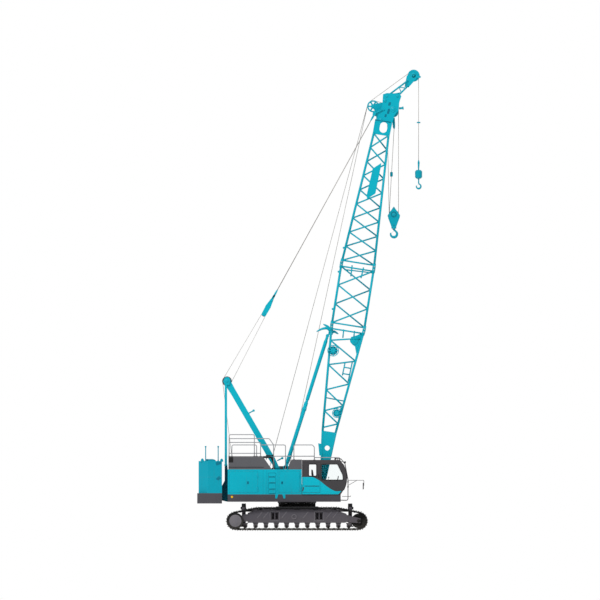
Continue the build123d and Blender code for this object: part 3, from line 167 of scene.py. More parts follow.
def addGroup(name, inputs, outputs):
    # an effect with named inputs at their first values, and named outputs
    tree = bpy.data.node_groups.new(name, "ShaderNodeTree")
    kinds = {True: "NodeSocketColor", False: "NodeSocketFloat"}
    for label, value in inputs.items():
        kind = kinds[isinstance(value, tuple)]
        tree.interface.new_socket(label, in_out="INPUT", socket_type=kind).default_value = value
    for label in outputs:
        tree.interface.new_socket(label, in_out="OUTPUT", socket_type=kinds[label == "Colour"])
    return tree, tree.nodes.new("NodeGroupInput").outputs, tree.nodes.new("NodeGroupOutput").inputs


def makePaintEffect():
    # paint: slow tone changes, rain streaks, dust on tops and near the ground, bare edges and a light peel
    tree, given, out = addGroup("weatheredPaint", {
        "Paint": (0, 0.4, 0.5, 1), "Bare": (0.3, 0.3, 0.3, 1), "Dust": (0.4, 0.36, 0.3, 1), "Wear": 0.4,
        "Dust Amount": 0.2, "Shine": 0.35}, ("Colour", "Roughness", "Height"))
    node, maths, ramp, noise, mix = nodeTools(tree)
    place = node("TexCoord", output="Object")
    slow, breakup, peel = noise(place, 0.55, 4), noise(place, 14, 6, 0.7), noise(place, 120, 2)
    streaks = ramp(noise(node("Mapping", {"Vector": place, "Scale": (5, 5, 0.5)}), 1.6, 5, 0.6), 0.52, 0.78)
    tone = mix(ramp(slow, 0.3, 0.7), (0.93, 0.94, 0.95, 1), (1.03, 1.02, 1.01, 1))
    colour = mix(1.0, given["Paint"], tone, "MULTIPLY")
    colour = mix(maths("MULTIPLY", streaks, 0.16), colour, (0.05, 0.055, 0.06, 1))
    facing = node("NewGeometry", output="Normal")
    rounded = node("Bevel", {"Radius": 0.012}, samples=4)
    alike = node("VectorMath", {0: rounded, 1: facing}, "Value", operation="DOT_PRODUCT")
    bare = maths("MULTIPLY", ramp(alike, 0.985, 0.86), ramp(breakup, 0.45, 0.6))
    bare = maths("MULTIPLY", bare, given["Wear"], clamp=True)
    up = ramp(node("SeparateXYZ", {0: facing}, "Z"), 0.35, 0.95)
    low = ramp(node("SeparateXYZ", {0: place}, "Z"), 1.1, 0.0)
    dusty = maths("MULTIPLY", maths("MAXIMUM", up, low), ramp(breakup, 0.3, 0.7))
    dusty = maths("MULTIPLY", dusty, given["Dust Amount"], clamp=True)
    feed(tree, mix(dusty, mix(bare, colour, given["Bare"]), given["Dust"]), out["Colour"])
    rough = maths("ADD", given["Shine"], maths("MULTIPLY", slow, 0.12))
    feed(tree, maths("ADD", rough, maths("MULTIPLY", dusty, 0.4), clamp=True), out["Roughness"])
    feed(tree, maths("SUBTRACT", maths("MULTIPLY", peel, 0.12), maths("MULTIPLY", bare, 0.8)), out["Height"])
    return tree


def makeLayEffect():
    # rope: strands run round it as slanted waves of its own length and turn, with painted shade in the grooves
    # between them
    tree, given, out = addGroup("ropeLay", {
        "Wire": (0.5, 0.5, 0.5, 1), "Groove": (0.1, 0.1, 0.1, 1), "Strands": 8.0, "Turns": 5.0,
    }, ("Colour", "Height"))
    node, maths, ramp, noise, mix = nodeTools(tree)
    lay = node("UVMap")
    turned = maths("ADD", maths("MULTIPLY", node("SeparateXYZ", {0: lay}, "X"), given["Strands"]),
                   maths("MULTIPLY", node("SeparateXYZ", {0: lay}, "Y"), given["Turns"]))
    wave = maths("ABSOLUTE", maths("SINE", maths("MULTIPLY", turned, pi)))
    grime = ramp(noise(node("TexCoord", output="Object"), 6, 4), 0.2, 0.6, 0.7, 1.0)
    # painted shade: the grooves between strands take the darker groove colour, under a random darker tone
    shade = maths("MULTIPLY", ramp(wave, 0.0, 0.55), grime)
    feed(tree, mix(shade, given["Groove"], given["Wire"]), out["Colour"])
    feed(tree, wave, out["Height"])
    return tree


def makeGrainEffect():
    # moulded and covered surfaces: rounded pebbles with a slow change of tone
    tree, given, out = addGroup("pebbleGrain", {
        "Base": (0.02, 0.02, 0.02, 1), "Pebbles": 260.0, "Shine": 0.6}, ("Colour", "Roughness", "Height"))
    node, maths, ramp, noise, mix = nodeTools(tree)
    place = node("TexCoord", output="Object")
    cells = node("TexVoronoi", {"Vector": place, "Scale": given["Pebbles"]}, "Distance", feature="SMOOTH_F1")
    slow = noise(place, 3, 4)
    tone = mix(ramp(slow, 0.3, 0.7), (0.82, 0.82, 0.84, 1), (1.12, 1.12, 1.1, 1))
    feed(tree, mix(1.0, given["Base"], tone, "MULTIPLY"), out["Colour"])
    feed(tree, maths("ADD", given["Shine"], maths("MULTIPLY", slow, 0.15), clamp=True), out["Roughness"])
    feed(tree, cells, out["Height"])
    return tree


paintEffect, layEffect, grainEffect = makePaintEffect(), makeLayEffect(), makeGrainEffect()
finishes, finishSlots = {}, {}


def startMaterial(name, slot):
    # a new material, kept under its name together with the record's slot that it stands for
    material = bpy.data.materials.new(name)
    material.use_nodes = True
    finishes[name], finishSlots[name] = material, slot
    return material.node_tree, material.node_tree.nodes["Principled BSDF"].inputs


def newMaterial(name, slot, effect, values, strength, depth, fixed):
    tree, shader = startMaterial(name, slot)
    group = tree.nodes.new("ShaderNodeGroup")
    group.node_tree = effect
    for label, value in values.items():
        group.inputs[label].default_value = value
    feed(tree, group.outputs["Colour"], shader["Base Color"])
    if "Roughness" in group.outputs:
        feed(tree, group.outputs["Roughness"], shader["Roughness"])
    bump = {"Strength": strength, "Distance": depth, "Height": group.outputs["Height"]}
    feed(tree, addNode(tree, "Bump", bump), shader["Normal"])
    for label, value in fixed.items():
        shader[label].default_value = value


# slot, then paint, bare metal, wear, dust and shine
paintTable = {
    "houseTurquoise": ("turquoise", (0, 167, 187), (120, 122, 124), 0.5, 0.10, 0.24),
    "weightTurquoise": ("turquoise", (0, 151, 172), (110, 108, 106), 0.6, 0.14, 0.34),
    "boomTurquoise": ("turquoise", (0, 166, 186), (120, 122, 124), 0.5, 0.08, 0.26),
    "cowlTurquoise": ("turquoise", (0, 176, 196), (120, 122, 124), 0.3, 0.06, 0.20),
    "hookTurquoise": ("turquoise", (0, 152, 172), (105, 104, 102), 0.8, 0.10, 0.34),
    # a darker copy of the turquoise paint: painted shade on the counterweight's and the head's recesses and on
    # the tail's plates, and also used for the seams, step rims, door latches, the reel hose and the block's
    # rings
    "darkTurquoiseAndPaintedShade": ("turquoise", (2, 112, 134), (96, 104, 106), 0.3, 0.06, 0.40),
    "bandGrey": ("dark_grey", (74, 72, 78), (120, 120, 122), 0.6, 0.20, 0.42),
    "hoodGrey": ("dark_grey", (88, 88, 92), (130, 130, 132), 0.5, 0.16, 0.40),
    "cabGrey": ("dark_grey", (66, 64, 66), (120, 120, 122), 0.35, 0.08, 0.36),
    "baseGrey": ("dark_grey", (76, 75, 80), (118, 118, 120), 0.7, 0.16, 0.46),
    "frameGrey": ("track_grey", (79, 76, 83), (132, 130, 128), 0.6, 0.16, 0.50),
    "coverGrey": ("track_grey", (106, 103, 109), (150, 148, 146), 0.6, 0.16, 0.42),
    "trackSteel": ("shoes", (30, 31, 33), (104, 100, 96), 0.55, 0.16, 0.58),
    "railGrey": ("rails", (150, 152, 156), (170, 170, 170), 0.4, 0.08, 0.38),
    "engineGrey": ("engine", (96, 99, 103), (140, 140, 140), 0.5, 0.20, 0.52),
    "trimBlack": ("console", (34, 34, 37), (96, 96, 98), 0.3, 0.10, 0.48),
    "lampYellow": ("rails", (240, 186, 20), (240, 200, 60), 0.1, 0.05, 0.25),
}
metalTable = {
    "machinedSteel": ("running_gear", (170, 170, 172), (200, 200, 200), 0.3, 0.05, 0.30),
    "sheaveSteel": ("running_gear", (88, 92, 96), (200, 200, 200), 0.6, 0.05, 0.38),
    "mirrorFace": ("glass", (228, 230, 232), (200, 200, 200), 0.0, 0.0, 0.04),
}
for table, dustColour, strength, depth, fixed in (
        (paintTable, (150, 140, 124), 0.12, 0.002, {"Specular IOR Level": 0.12}),
        (metalTable, (120, 110, 98), 0.05, 0.001, {"Metallic": 1.0})):
    for name, (slot, paint, bare, wear, dust, shine) in table.items():
        newMaterial(name, slot, paintEffect, {
            "Paint": linearColour(*paint), "Bare": linearColour(*bare), "Dust": linearColour(*dustColour),
            "Wear": wear, "Dust Amount": dust, "Shine": shine}, strength, depth, fixed)

# slot, then wire, groove (its painted shade between strands), strands, turns, bump's strength and depth, and
# gloss
ropeTable = {
    "ropeWire": ("rope", (172, 168, 164), (92, 86, 80), 8.0, 6.0, 0.7, 0.003, 0.42),
    "woundWire": ("drum", (146, 142, 138), (60, 56, 52), 0.0, 1.0, 0.6, 0.006, 0.46),
}
for name, (slot, wireColour, groove, strands, turns, strength, depth, shine) in ropeTable.items():
    newMaterial(name, slot, layEffect, {
        "Wire": linearColour(*wireColour), "Groove": linearColour(*groove), "Strands": strands, "Turns": turns,
    }, strength, depth, {"Metallic": 0.35, "Roughness": shine})

# slot, then base, pebbles, shine, bump's strength and depth, and what is fixed
grainTable = {
    "blackRubber": ("console", (30, 30, 32), 180.0, 0.62, 0.2, 0.001, {}),
    "mouldedPlastic": ("console", (50, 51, 55), 420.0, 0.46, 0.25, 0.0006, {}),
    "seatVinyl": ("seat", (38, 38, 42), 300.0, 0.55, 0.35, 0.0008, {"Sheen Weight": 0.2}),
}
for name, (slot, base, pebbles, shine, strength, depth, fixed) in grainTable.items():
    newMaterial(name, slot, grainEffect, {"Base": linearColour(*base), "Pebbles": pebbles, "Shine": shine},
                strength, depth, fixed)

# clear panes: plain transmission, with smears that change the gloss
paneTable = (("cabPane", (250, 253, 253), 1.0, 0.02), ("lampGlass", (250, 250, 246), 0.6, 0.05))
for name, tint, share, shine in paneTable:
    tree, shader = startMaterial(name, "glass")
    smear = addNoise(tree, addNode(tree, "TexCoord", output="Object"), 2.5, 5)
    feed(tree, addRamp(tree, smear, 0.35, 0.75, shine, shine + 0.10), shader["Roughness"])
    for label, value in (("Base Color", linearColour(*tint)), ("Transmission Weight", share), ("IOR", 1.05)):
        shader[label].default_value = value

nodeFinishes = {
    "houseTurquoise": "housing_right housing_left rear_door_right rear_door_left front_door_right "
                      "front_door_left",
    "weightTurquoise": "counterweight_lower counterweight_upper",
    "boomTurquoise": "gantry_legs gantry_links boom_base boom_insert boom_tip aux_jib cable_reels bridle "
                     "backstop_tubes backstop_rods head_sheaves guide_sheave aux_sheave",
    "hookTurquoise": "main_block main_hook aux_ball aux_hook",
    "sheaveSteel": "gantry_sheaves bridle_sheaves main_block_sheaves",
    "bandGrey": "revolving_frame",
    "hoodGrey": "hoods air_cleaner_cover",
    "baseGrey": "counterweight_base",
    "cabGrey": "cab_shell cab_door mirror_stay",
    "frameGrey": "crawler_frame_right crawler_frame_left carbody",
    "trackSteel": "track_right track_left rollers slewing_ring sprockets idlers",
    "railGrey": "guard_rails",
    "engineGrey": "engine",
    "ropeWire": "luffing_ropes pendants main_falls aux_falls",
    "woundWire": "front_drum rear_drum luffing_drum",
    "seatVinyl": "operator_seat",
    "mouldedPlastic": "control_consoles",
    "cabPane": "cab_glass",
}
for finish, names in nodeFinishes.items():
    for name in names.split():
        nodes[name].data.materials.clear()
        nodes[name].data.materials.append(finishes[finish])
print("finishes:", len(finishes), "materials")


# Surfaces: every new piece is made of shells, each a grid of points worked out as one array

def gridFaces(rows, columns, closeRows):
    # the quads between neighbouring points of rings; closeRows joins the last ring to the first
    r = np.arange(rows if closeRows else rows - 1)[:, None]
    c = np.arange(columns)[None, :]
    nextR, nextC = (r + 1) % rows, (c + 1) % columns
    corners = (r * columns + c, nextR * columns + c, nextR * columns + nextC, r * columns + nextC)
    return np.stack(np.broadcast_arrays(*corners), -1).reshape(-1, 4)


def signedVolume(points, faces):
    # the sum of the tetrahedra between the origin and each triangle: below nought when faces point inwards
    a, b, c = (points[faces[:, k]] for k in (0, 1, 2))
    total = np.einsum("ij,ij->i", a, np.cross(b, c)).sum()
    if faces.shape[1] == 4:
        total += np.einsum("ij,ij->i", a, np.cross(c, points[faces[:, 3]])).sum()
    return total


def gridShell(grid, closeRows=False, smooth=True, lay=None):
    # a shell from a grid of points (rows, columns, 3); its open ends are closed by one flat face each
    rows, columns = grid.shape[:2]
    points = grid.reshape(-1, 3)
    faces = gridFaces(rows, columns, closeRows)
    if lay is None:
        corners = np.zeros((len(faces), 4, 2))
    else:
        corners = np.stack([lay[:-1, :-1], lay[1:, :-1], lay[1:, 1:], lay[:-1, 1:]], 2).reshape(-1, 4, 2)
    centred = points - points.mean(0)
    volume, caps = signedVolume(centred, faces), []
    if not closeRows:
        caps = [np.arange(columns), np.arange(rows * columns - 1, (rows - 1) * columns - 1, -1)]
        for cap in caps:
            fan = np.stack([np.full(columns - 2, cap[0]), cap[1:-1], cap[2:]], -1)
            volume += signedVolume(centred, fan)
    if volume < 0:
        faces, corners, caps = faces[:, ::-1], corners[:, ::-1], [cap[::-1] for cap in caps]
    return {"points": points, "faces": faces, "caps": caps, "smooth": smooth, "lay": corners}


def unit(vector):
    vector = np.asarray(vector, float)
    return vector / np.linalg.norm(vector, axis=-1, keepdims=True)


def turnsRound(count):
    # even angles round a circle
    return np.arange(count) * 2 * pi / count


def circle(radius, sides):
    return np.stack([np.cos(turnsRound(sides)), np.sin(turnsRound(sides))], -1) * radius


def crossWays(axis):
    # two directions square to an axis and to each other
    first = unit(np.cross(axis, (0.0, 0.0, 1.0) if abs(axis[2]) < 0.9 else (1.0, 0.0, 0.0)))
    return first, np.cross(axis, first)


def carry(path, profile, side, closePath=False, smooth=True, grow=None):
    # a profile carried along a path: path point + profile x along the side way + profile y along the third way
    path, profile = np.asarray(path, float), np.asarray(profile, float)
    if closePath:
        run = unit(np.roll(path, -1, 0) - np.roll(path, 1, 0))
    else:
        run = unit(np.gradient(path, axis=0))
    side = np.broadcast_to(np.asarray(side, float), path.shape)
    side = unit(side - run * (side * run).sum(-1, keepdims=True))
    third = np.cross(run, side)
    scale = np.ones(len(path)) if grow is None else np.asarray(grow, float)
    spread = profile[None] * scale[:, None, None]
    grid = path[:, None] + side[:, None] * spread[..., :1] + third[:, None] * spread[..., 1:]
    steps = np.r_[0, np.cumsum(np.linalg.norm(np.diff(path, axis=0), axis=1))]
    lay = np.stack(np.meshgrid(steps, np.arange(len(profile) + 1) / len(profile), indexing="ij")[::-1], -1)
    return gridShell(grid, closePath, smooth, None if closePath else lay)


def tube(start, end, radius, sides=16):
    # a round bar; the first way of its section is square to the run, level where it can be
    run = unit(np.subtract(end, start))
    guess = (0.0, 1.0, 0.0) if abs(run[1]) < 0.9 else (1.0, 0.0, 0.0)
    return carry([start, end], circle(radius, sides), np.cross(run, guess))


def bars(rows, y, radius, sides=10):
    # straight bars in one plane, each from (forward, up) to (forward, up)
    return [tube((a, y, b), (c, y, d), radius, sides) for (a, b), (c, d) in rows]


def bentTube(corners, radius, bend, sides=12):
    # a tube along straight runs whose corners are arcs of the bend radius
    corners = np.asarray(corners, float)
    if len(corners) < 3:
        return tube(*corners, radius, sides)
    path = [corners[:1]]
    for before, corner, after in zip(corners, corners[1:], corners[2:]):
        back, ahead = unit(before - corner), unit(after - corner)
        half = np.arccos(np.clip((back * ahead).sum(), -1, 1)) / 2
        reach = min(bend / np.tan(half), *(0.45 * np.linalg.norm(end - corner) for end in (before, after)))
        share = np.linspace(0, 1, 7)[:, None]
        curve = (1 - share) ** 2 * (corner + back * reach) + 2 * share * (1 - share) * corner
        path.append(curve + share ** 2 * (corner + ahead * reach))
    normal = np.cross(corners[1] - corners[0], corners[2] - corners[1])
    return carry(np.concatenate(path + [corners[-1:]]), circle(radius, sides), unit(normal))


def lathe(profile, centre, axis=(0, 1, 0), segments=48, smooth=True):
    # radii and heights turned about an axis: centre + height along the axis + radius round it
    profile, axis = np.asarray(profile, float), unit(axis)
    first, second = crossWays(axis)
    turn = turnsRound(segments)[:, None]
    ring = np.cos(turn) * first + np.sin(turn) * second
    grid = np.asarray(centre) + profile[:, None, 1:] * axis + profile[:, None, :1] * ring[None]
    return gridShell(grid, smooth=smooth)


def ringLathe(profile, centre, axis=(0, 1, 0), segments=48):
    # the same for a closed section that doesn't reach the axis, such as a rim
    grid = lathe(profile, centre, axis, segments)["points"].reshape(len(profile), segments, 3)
    return gridShell(grid, True)


def mirrored(half):
    # a section's rows from one end to its middle, then the same again to the other end
    return list(half) + [(radius, -height) for radius, height in half[::-1]]


def dome(radius, steps, gap, centre, axis=(0, 0, 1), squash=1.0):
    # a ball as radius times sine and height as radius times cosine of an angle, open by a gap at its poles
    turn = np.linspace(gap, pi - gap, steps)
    return lathe(np.stack([radius * np.sin(turn), -radius * squash * np.cos(turn)], -1), centre, axis, 20)


def slab(outline, low, high, place):
    # a flat outline carried through its thickness; place turns (u, v, depth) into points
    outline = np.asarray(outline, float)
    grid = np.stack([place(np.c_[outline, np.full(len(outline), depth)]) for depth in (low, high)])
    return gridShell(grid, smooth=False)


def sidePlace(points):
    # u forward, v up and depth across the machine
    return np.stack([points[:, 0], points[:, 2], points[:, 1]], -1)


def sideSlab(outline, near, far):
    return slab(outline, *sorted((near, far)), sidePlace)


def roundedOutline(width, height, corner, steps=5):
    # a rectangle about the origin whose corners are arcs
    turn = np.linspace(0, pi / 2, steps)
    quarters = [np.stack([np.cos(turn + k * pi / 2), np.sin(turn + k * pi / 2)], -1) * corner
                + (np.array([width, height]) / 2 - corner) * np.array(sign)
                for k, sign in enumerate(((1, 1), (-1, 1), (-1, -1), (1, -1)))]
    return np.concatenate(quarters)


def roundedLoop(corners, corner, steps=5):
    # a closed outline whose corners are curves between points that lie short of them on both edges
    corners = np.asarray(corners, float)
    start = corners + unit(np.roll(corners, 1, 0) - corners) * corner
    end = corners + unit(np.roll(corners, -1, 0) - corners) * corner
    share = np.linspace(0, 1, steps)[None, :, None]
    curve = (1 - share) ** 2 * start[:, None] + 2 * share * (1 - share) * corners[:, None]
    return (curve + share ** 2 * end[:, None]).reshape(-1, corners.shape[1])


def boxOutline(x0, z0, x1, z1):
    return [(x0, z0), (x1, z0), (x1, z1), (x0, z1)]


def roundedBox(x0, z0, x1, z1, corner):
    return roundedLoop(boxOutline(x0, z0, x1, z1), corner)


def carryRound(loop, across, section):
    # a small section carried round an outline that stands in one plane
    return carry(sidePlace(np.c_[loop, np.full(len(loop), across)]), section, (0, 1, 0), True)


def otherSide(shells):
    # the same shells on the machine's other side: side places change sign, and the faces turn round
    return [{**shell, "points": shell["points"] * (1, -1, 1), "faces": shell["faces"][:, ::-1],
             "lay": shell["lay"][:, ::-1], "caps": [cap[::-1] for cap in shell["caps"]]} for shell in shells]


def bothSides(shells):
    return shells + otherSide(shells)


def addPiece(name, shells, finish, body, bevel=0.0):
    # joins shells into one mesh, with each shell's own lengths as its UV map, and lets it ride on its body
    start, points, faces, smooth, lay = 0, [], [], [], []
    for shell in shells:
        quads = (shell["faces"] + start).tolist()
        caps = [(cap + start).tolist() for cap in shell["caps"]]
        points.append(shell["points"])
        faces += quads + caps
        smooth += [shell["smooth"]] * len(quads) + [False] * len(caps)
        lay += [shell["lay"].reshape(-1, 2), np.zeros((sum(map(len, caps)), 2))]
        start += len(shell["points"])
    mesh = bpy.data.meshes.new(name)
    mesh.from_pydata(np.concatenate(points).tolist(), [], faces)
    mesh.polygons.foreach_set("use_smooth", smooth)
    mesh.uv_layers.new(name="lay").data.foreach_set("uv", np.concatenate(lay).ravel())
    mesh.materials.append(finishes[finish])
    mesh.update()
    piece = addObject(name, mesh)
    if bevel:
        edge = piece.modifiers.new("edges", "BEVEL")
        edge.width, edge.segments, edge.limit_method, edge.angle_limit = bevel, 2, "ANGLE", radians(40)
    if body:
        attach(piece, body)
    return piece


# Tracks: shoes laid link by link round the pitch line; outlines are (along, outwards) from each pin

trackSizes = {
    "wheelHalf": 2.975, "pitchRadius": 0.4, "pitchLow": 0.08, "topRise": 0.215, "topHalf": 1.95,
    "shoes": 60, "start": 0.3, "middle": 2.15, "shoeHalf": 0.457, "linkAcross": 0.115, "linkHalf": 0.02,
    "pad": ((0.008, 0.002), (0.008, 0.08), (0.034, 0.08), (0.046, 0.052), (0.15, 0.052), (0.16, 0.07),
            (0.184, 0.07), (0.196, 0.05), (0.232, 0.042), (0.232, 0.002)),
    "link": ((-0.024, -0.02), (-0.008, -0.044), (0.226, -0.044), (0.252, -0.02), (0.236, 0.028), (0, 0.028)),
    "horn": ((0.05, -0.04), (0.09, -0.06), (0.13, -0.06), (0.17, -0.04), (0.19, 0.028), (0.03, 0.028)),
    "hornFaces": (0.24, 0.27), "pinRadius": 0.026, "pinHalf": 0.16,
}


def trackLine(sizes, steps=600):
    # the pitch line: low run, front wrap, slope, top run, slope and rear wrap, as one closed row of points
    half, radius = sizes["wheelHalf"], sizes["pitchRadius"]
    centre = sizes["pitchLow"] + radius
    top = centre + radius + sizes["topRise"]
    reach = np.array([sizes["topHalf"] - half, top - centre])
    turn = atan2(reach[1], reach[0]) - np.arccos(radius / hypot(*reach))
    angle = np.linspace(-pi / 2, turn, steps)
    front = np.stack([half + radius * np.cos(angle), centre + radius * np.sin(angle)], -1)
    rear = front[::-1] * (-1, 1)
    return np.concatenate([front, [(sizes["topHalf"], top), (-sizes["topHalf"], top)], rear, front[:1]])


def shoeShells(sizes):
    # one shoe's parts as flat outlines, each carried across between two places
    across, half, (near, far) = sizes["linkAcross"], sizes["linkHalf"], sizes["hornFaces"]
    pin = circle(sizes["pinRadius"], 6) + (0.0, -0.008)
    return [(sizes["pad"], -sizes["shoeHalf"], sizes["shoeHalf"]), (pin, -sizes["pinHalf"], sizes["pinHalf"]),
            (sizes["link"], across - half, across + half), (sizes["link"], -across - half, -across + half),
            (sizes["horn"], near, far), (sizes["horn"], -far, -near)]


def trackShells(sizes):
    line, middle = trackLine(sizes), sizes["middle"]
    length = np.r_[0, np.cumsum(np.hypot(*np.diff(line, axis=0).T))]
    pitch = length[-1] / sizes["shoes"]
    stops = (np.arange(sizes["shoes"] + 1) + sizes["start"]) * pitch - 2 * sizes["wheelHalf"]
    pins = np.stack([np.interp(stops % length[-1], length, line[:, k]) for k in (0, 1)], -1)
    run = unit(np.diff(pins, axis=0))
    out = np.stack([run[:, 1], -run[:, 0]], -1)
    shells = []
    for outline, low, high in shoeShells(sizes):
        along, outwards = np.asarray(outline, float).T[..., None]
        flat = pins[:-1, None] + along * run[:, None] + outwards * out[:, None]
        shells += [slab(place, middle + low, middle + high, sidePlace) for place in flat]
    return shells


leftShoes = trackShells(trackSizes)
for word, shells in (("right", otherSide(leftShoes)), ("left", leftShoes)):
    track = addPiece(f"track_shoes_{word}", shells, "trackSteel", "undercarriage")
    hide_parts(f"track_{word}")
print("tracks: shoes and links")


# Boom: round chords and lacings over the solid's own, joint pins and what hangs on the lattice

boomSizes = {
    "foot": (1.233, 2.271), "angle": radians(81), "shift": 0.032, "plateEnd": 2.54,
    "jointOne": 7.62, "jointTwo": 10.668, "latticeEnd": 17.108,
    "chord": 0.0568, "lacing": 0.038, "collar": 0.079, "collarLength": 0.2, "jointBlock": 0.145,
    "rearNodes": (2.694, 3.501, 4.518, 5.73, 6.908), "frontNodes": (2.978, 3.868, 4.963, 6.097, 7.236),
    "baseBays": 6, "insertBays": 3, "tipBays": 9, "pinReach": 0.07,
    "pin": ((0.02, -0.105), (0.03, -0.1), (0.03, -0.086), (0.022, -0.084), (0.022, 0.084), (0.034, 0.086),
            (0.034, 0.104), (0.028, 0.11)),
}


def boomPlace(points):
    # a station up the boom, a depth in front of its axis and a side, turned into a place
    station, depth, side = np.moveaxis(np.asarray(points, float), -1, 0)
    c, s = cos(boomSizes["angle"]), sin(boomSizes["angle"])
    forward = depth + boomSizes["shift"]
    footX, footZ = boomSizes["foot"]
    return np.stack([footX + station * c + forward * s, side, footZ + station * s - forward * c], -1)


def chordPlace(station, front, side):
    marks = [boomSizes[mark] for mark in ("plateEnd", "jointOne", "jointTwo", "latticeEnd")]
    middle = np.interp(station, marks, (-0.11, 0, 0, 0.125))
    half = np.interp(station, marks, (0.319, 0.792, 0.792, 0.36))
    width = np.interp(station, marks, (0.76, 0.76, 0.76, 0.47))
    return boomPlace(np.stack([station, middle + (half if front else -half), side * width], -1))


def faceZigzag(stops, mark=1):
    # on the front and rear faces, from side to side between the stops
    pairs = []
    for low, high in zip(stops, stops[1:]):
        pairs += [((low, front, mark), (high, front, -mark)) for front in (0, 1)]
        mark = -mark
    return pairs


def lacingPairs(first, last, bays):
    # zigzags on the four faces: neighbouring faces start at opposite corners
    stops = np.linspace(first, last, bays + 1)
    pairs = faceZigzag(stops)
    for number, (low, high) in enumerate(zip(stops, stops[1:])):
        for side in (-1, 1):
            front = (number + (side > 0)) % 2
            pairs.append(((low, front, side), (high, 1 - front, side)))
    return pairs


def crossFrame(station):
    return ([((station, 0, side), (station, 1, side)) for side in (-1, 1)]
            + [((station, front, -1), (station, front, 1)) for front in (0, 1)])


def boomTubes(sizes):
    block, start = sizes["jointBlock"], sizes["plateEnd"]
    one, two, end = sizes["jointOne"], sizes["jointTwo"], sizes["latticeEnd"]
    nodesUp = sorted([(s, 0) for s in sizes["rearNodes"]] + [(s, 1) for s in sizes["frontNodes"]])
    backNodes = np.linspace(start + 0.06, one - block, sizes["baseBays"] + 1)
    base = crossFrame(one - block) + faceZigzag(backNodes, -1)
    base += [((*low, side), (*high, side)) for side in (-1, 1) for low, high in zip(nodesUp, nodesUp[1:])]
    insert = lacingPairs(one + block, two - block, sizes["insertBays"])
    insert += crossFrame(one + block) + crossFrame(two - block)
    tip = lacingPairs(two + block, end, sizes["tipBays"]) + crossFrame(two + block)
    return (("base", base, start, one), ("insert", insert, one, two), ("tip", tip, two, end))


chordEnds = [(front, side) for front in (0, 1) for side in (-1, 1)]
for word, pairs, low, high in boomTubes(boomSizes):
    shells = [tube(chordPlace(*a), chordPlace(*b), boomSizes["lacing"], 14) for a, b in pairs]
    runs = [(low, high, boomSizes["chord"])]
    if word != "base":
        runs.append((low, low + boomSizes["collarLength"], boomSizes["collar"]))
    if word != "tip":
        runs.append((high - boomSizes["collarLength"], high, boomSizes["collar"]))
    shells += [tube(chordPlace(start, *chord), chordPlace(end, *chord), radius, 20)
               for start, end, radius in runs for chord in chordEnds]
    addPiece(f"boom_{word}_tubes", shells, "boomTurquoise", "boom")

boomWay = boomPlace((1, 0, 0)) - boomPlace((0, 0, 0))
jointPins = [lathe(boomSizes["pin"], chordPlace(boomSizes[joint], *chord) + boomWay * push, segments=16)
             for joint in ("jointOne", "jointTwo") for chord in chordEnds
             for push in (-boomSizes["pinReach"], boomSizes["pinReach"])]
addPiece("boom_joint_pins", jointPins, "machinedSteel", "boom")
print("boom: tubes and joint pins")


# Ropes: each run is straight between its sheaves and bends round them with the groove's radius

stayLine = {"peak": (-3.381, 7.226), "way": (0.48318935, 0.87551588), "falls": 3.7, "bridleEnd": 4.62}
sheaves = {
    "guide": ((3.6762, 20.5033), 0.275), "head": ((4.6274, 20.2504), 0.275), "aux": ((5.6363, 21.9859), 0.236),
    "block": ((4.6774, 15.277), 0.2253), "gantry": ((-3.381, 7.226), 0.2143), "bridle": (None, 0.0993),
    "frontDrum": ((-0.85, 2.4), 0.313), "rearDrum": ((-1.8, 2.5), 0.313), "luffDrum": ((-2.75, 2.25), 0.229),
}
ropeSizes = {
    "hoist": 0.013, "luffing": 0.009, "lead": 0.011, "pendant": 0.02, "lane": 0.04, "luffingLane": 0.09,
    "pendantSide": 0.6, "weightZ": 17.219, "discZ": 19.72, "auxEnd": 17.9,
    "weight": ((0.014, 0.115), (0.04, 0.113), (0.062, 0.098), (0.066, 0.08)),
    "becket": ((0.046, 0.1), (0.06, 0.13), (0.064, 0.24), (0.056, 0.4), (0.036, 0.49), (0.014, 0.495)),
    "becketCheek": ((-0.06, 0.04), (0.06, 0.04), (0.066, -0.03), (0.07, -0.2), (-0.01, -0.2), (-0.046, -0.03)),
    "becketPin": ((0.02, -0.055), (0.034, -0.053), (0.034, -0.04), (0.022, -0.038)),
    "disc": ((0.016, 0.034), (0.07, 0.032), (0.086, 0.022), (0.088, 0.0), (0.086, -0.022), (0.07, -0.032),
             (0.016, -0.034)),
    "socket": ((0.03, 0.13), (0.046, 0.15), (0.046, 0.26), (0.03, 0.4), (0.022, 0.42)),
    "socketCheek": ((-0.05, -0.055), (0.05, -0.055), (0.058, 0.0), (0.048, 0.16), (-0.048, 0.16),
                    (-0.058, 0.0)),
    "socketPin": ((0.024, -0.03), (0.03, -0.028)),
}
hoistRope, lane = ropeSizes["hoist"], ropeSizes["lane"]


def stayPlace(points):
    # distance from the gantry's peak, in front of the stays' line and to the side
    along, across, side = np.moveaxis(np.asarray(points, float), -1, 0)
    (x, z), (c, s) = stayLine["peak"], stayLine["way"]
    return np.stack([x + c * along + s * across, side, z + s * along - c * across], -1)


def tangentAngle(first, second, cross=False):
    # the angle of the touching points on both sheaves' upper side, or on the first one's front where they cross
    (start, startRadius), (end, endRadius) = first, second
    run = np.subtract(end, start)
    sign = -1 if cross else 1
    return atan2(run[1], run[0]) + sign * np.arccos((startRadius - sign * endRadius) / np.hypot(*run))


def onSheave(name, angle, side):
    (x, z), radius = sheaves[name]
    angle = np.asarray(angle, float)
    return np.stack([x + radius * np.cos(angle), np.full_like(angle, side), z + radius * np.sin(angle)], -1)


def ropeAlong(path, radius=hoistRope, sides=10):
    return carry(path, circle(radius, sides), (0.0, 1.0, 0.0))


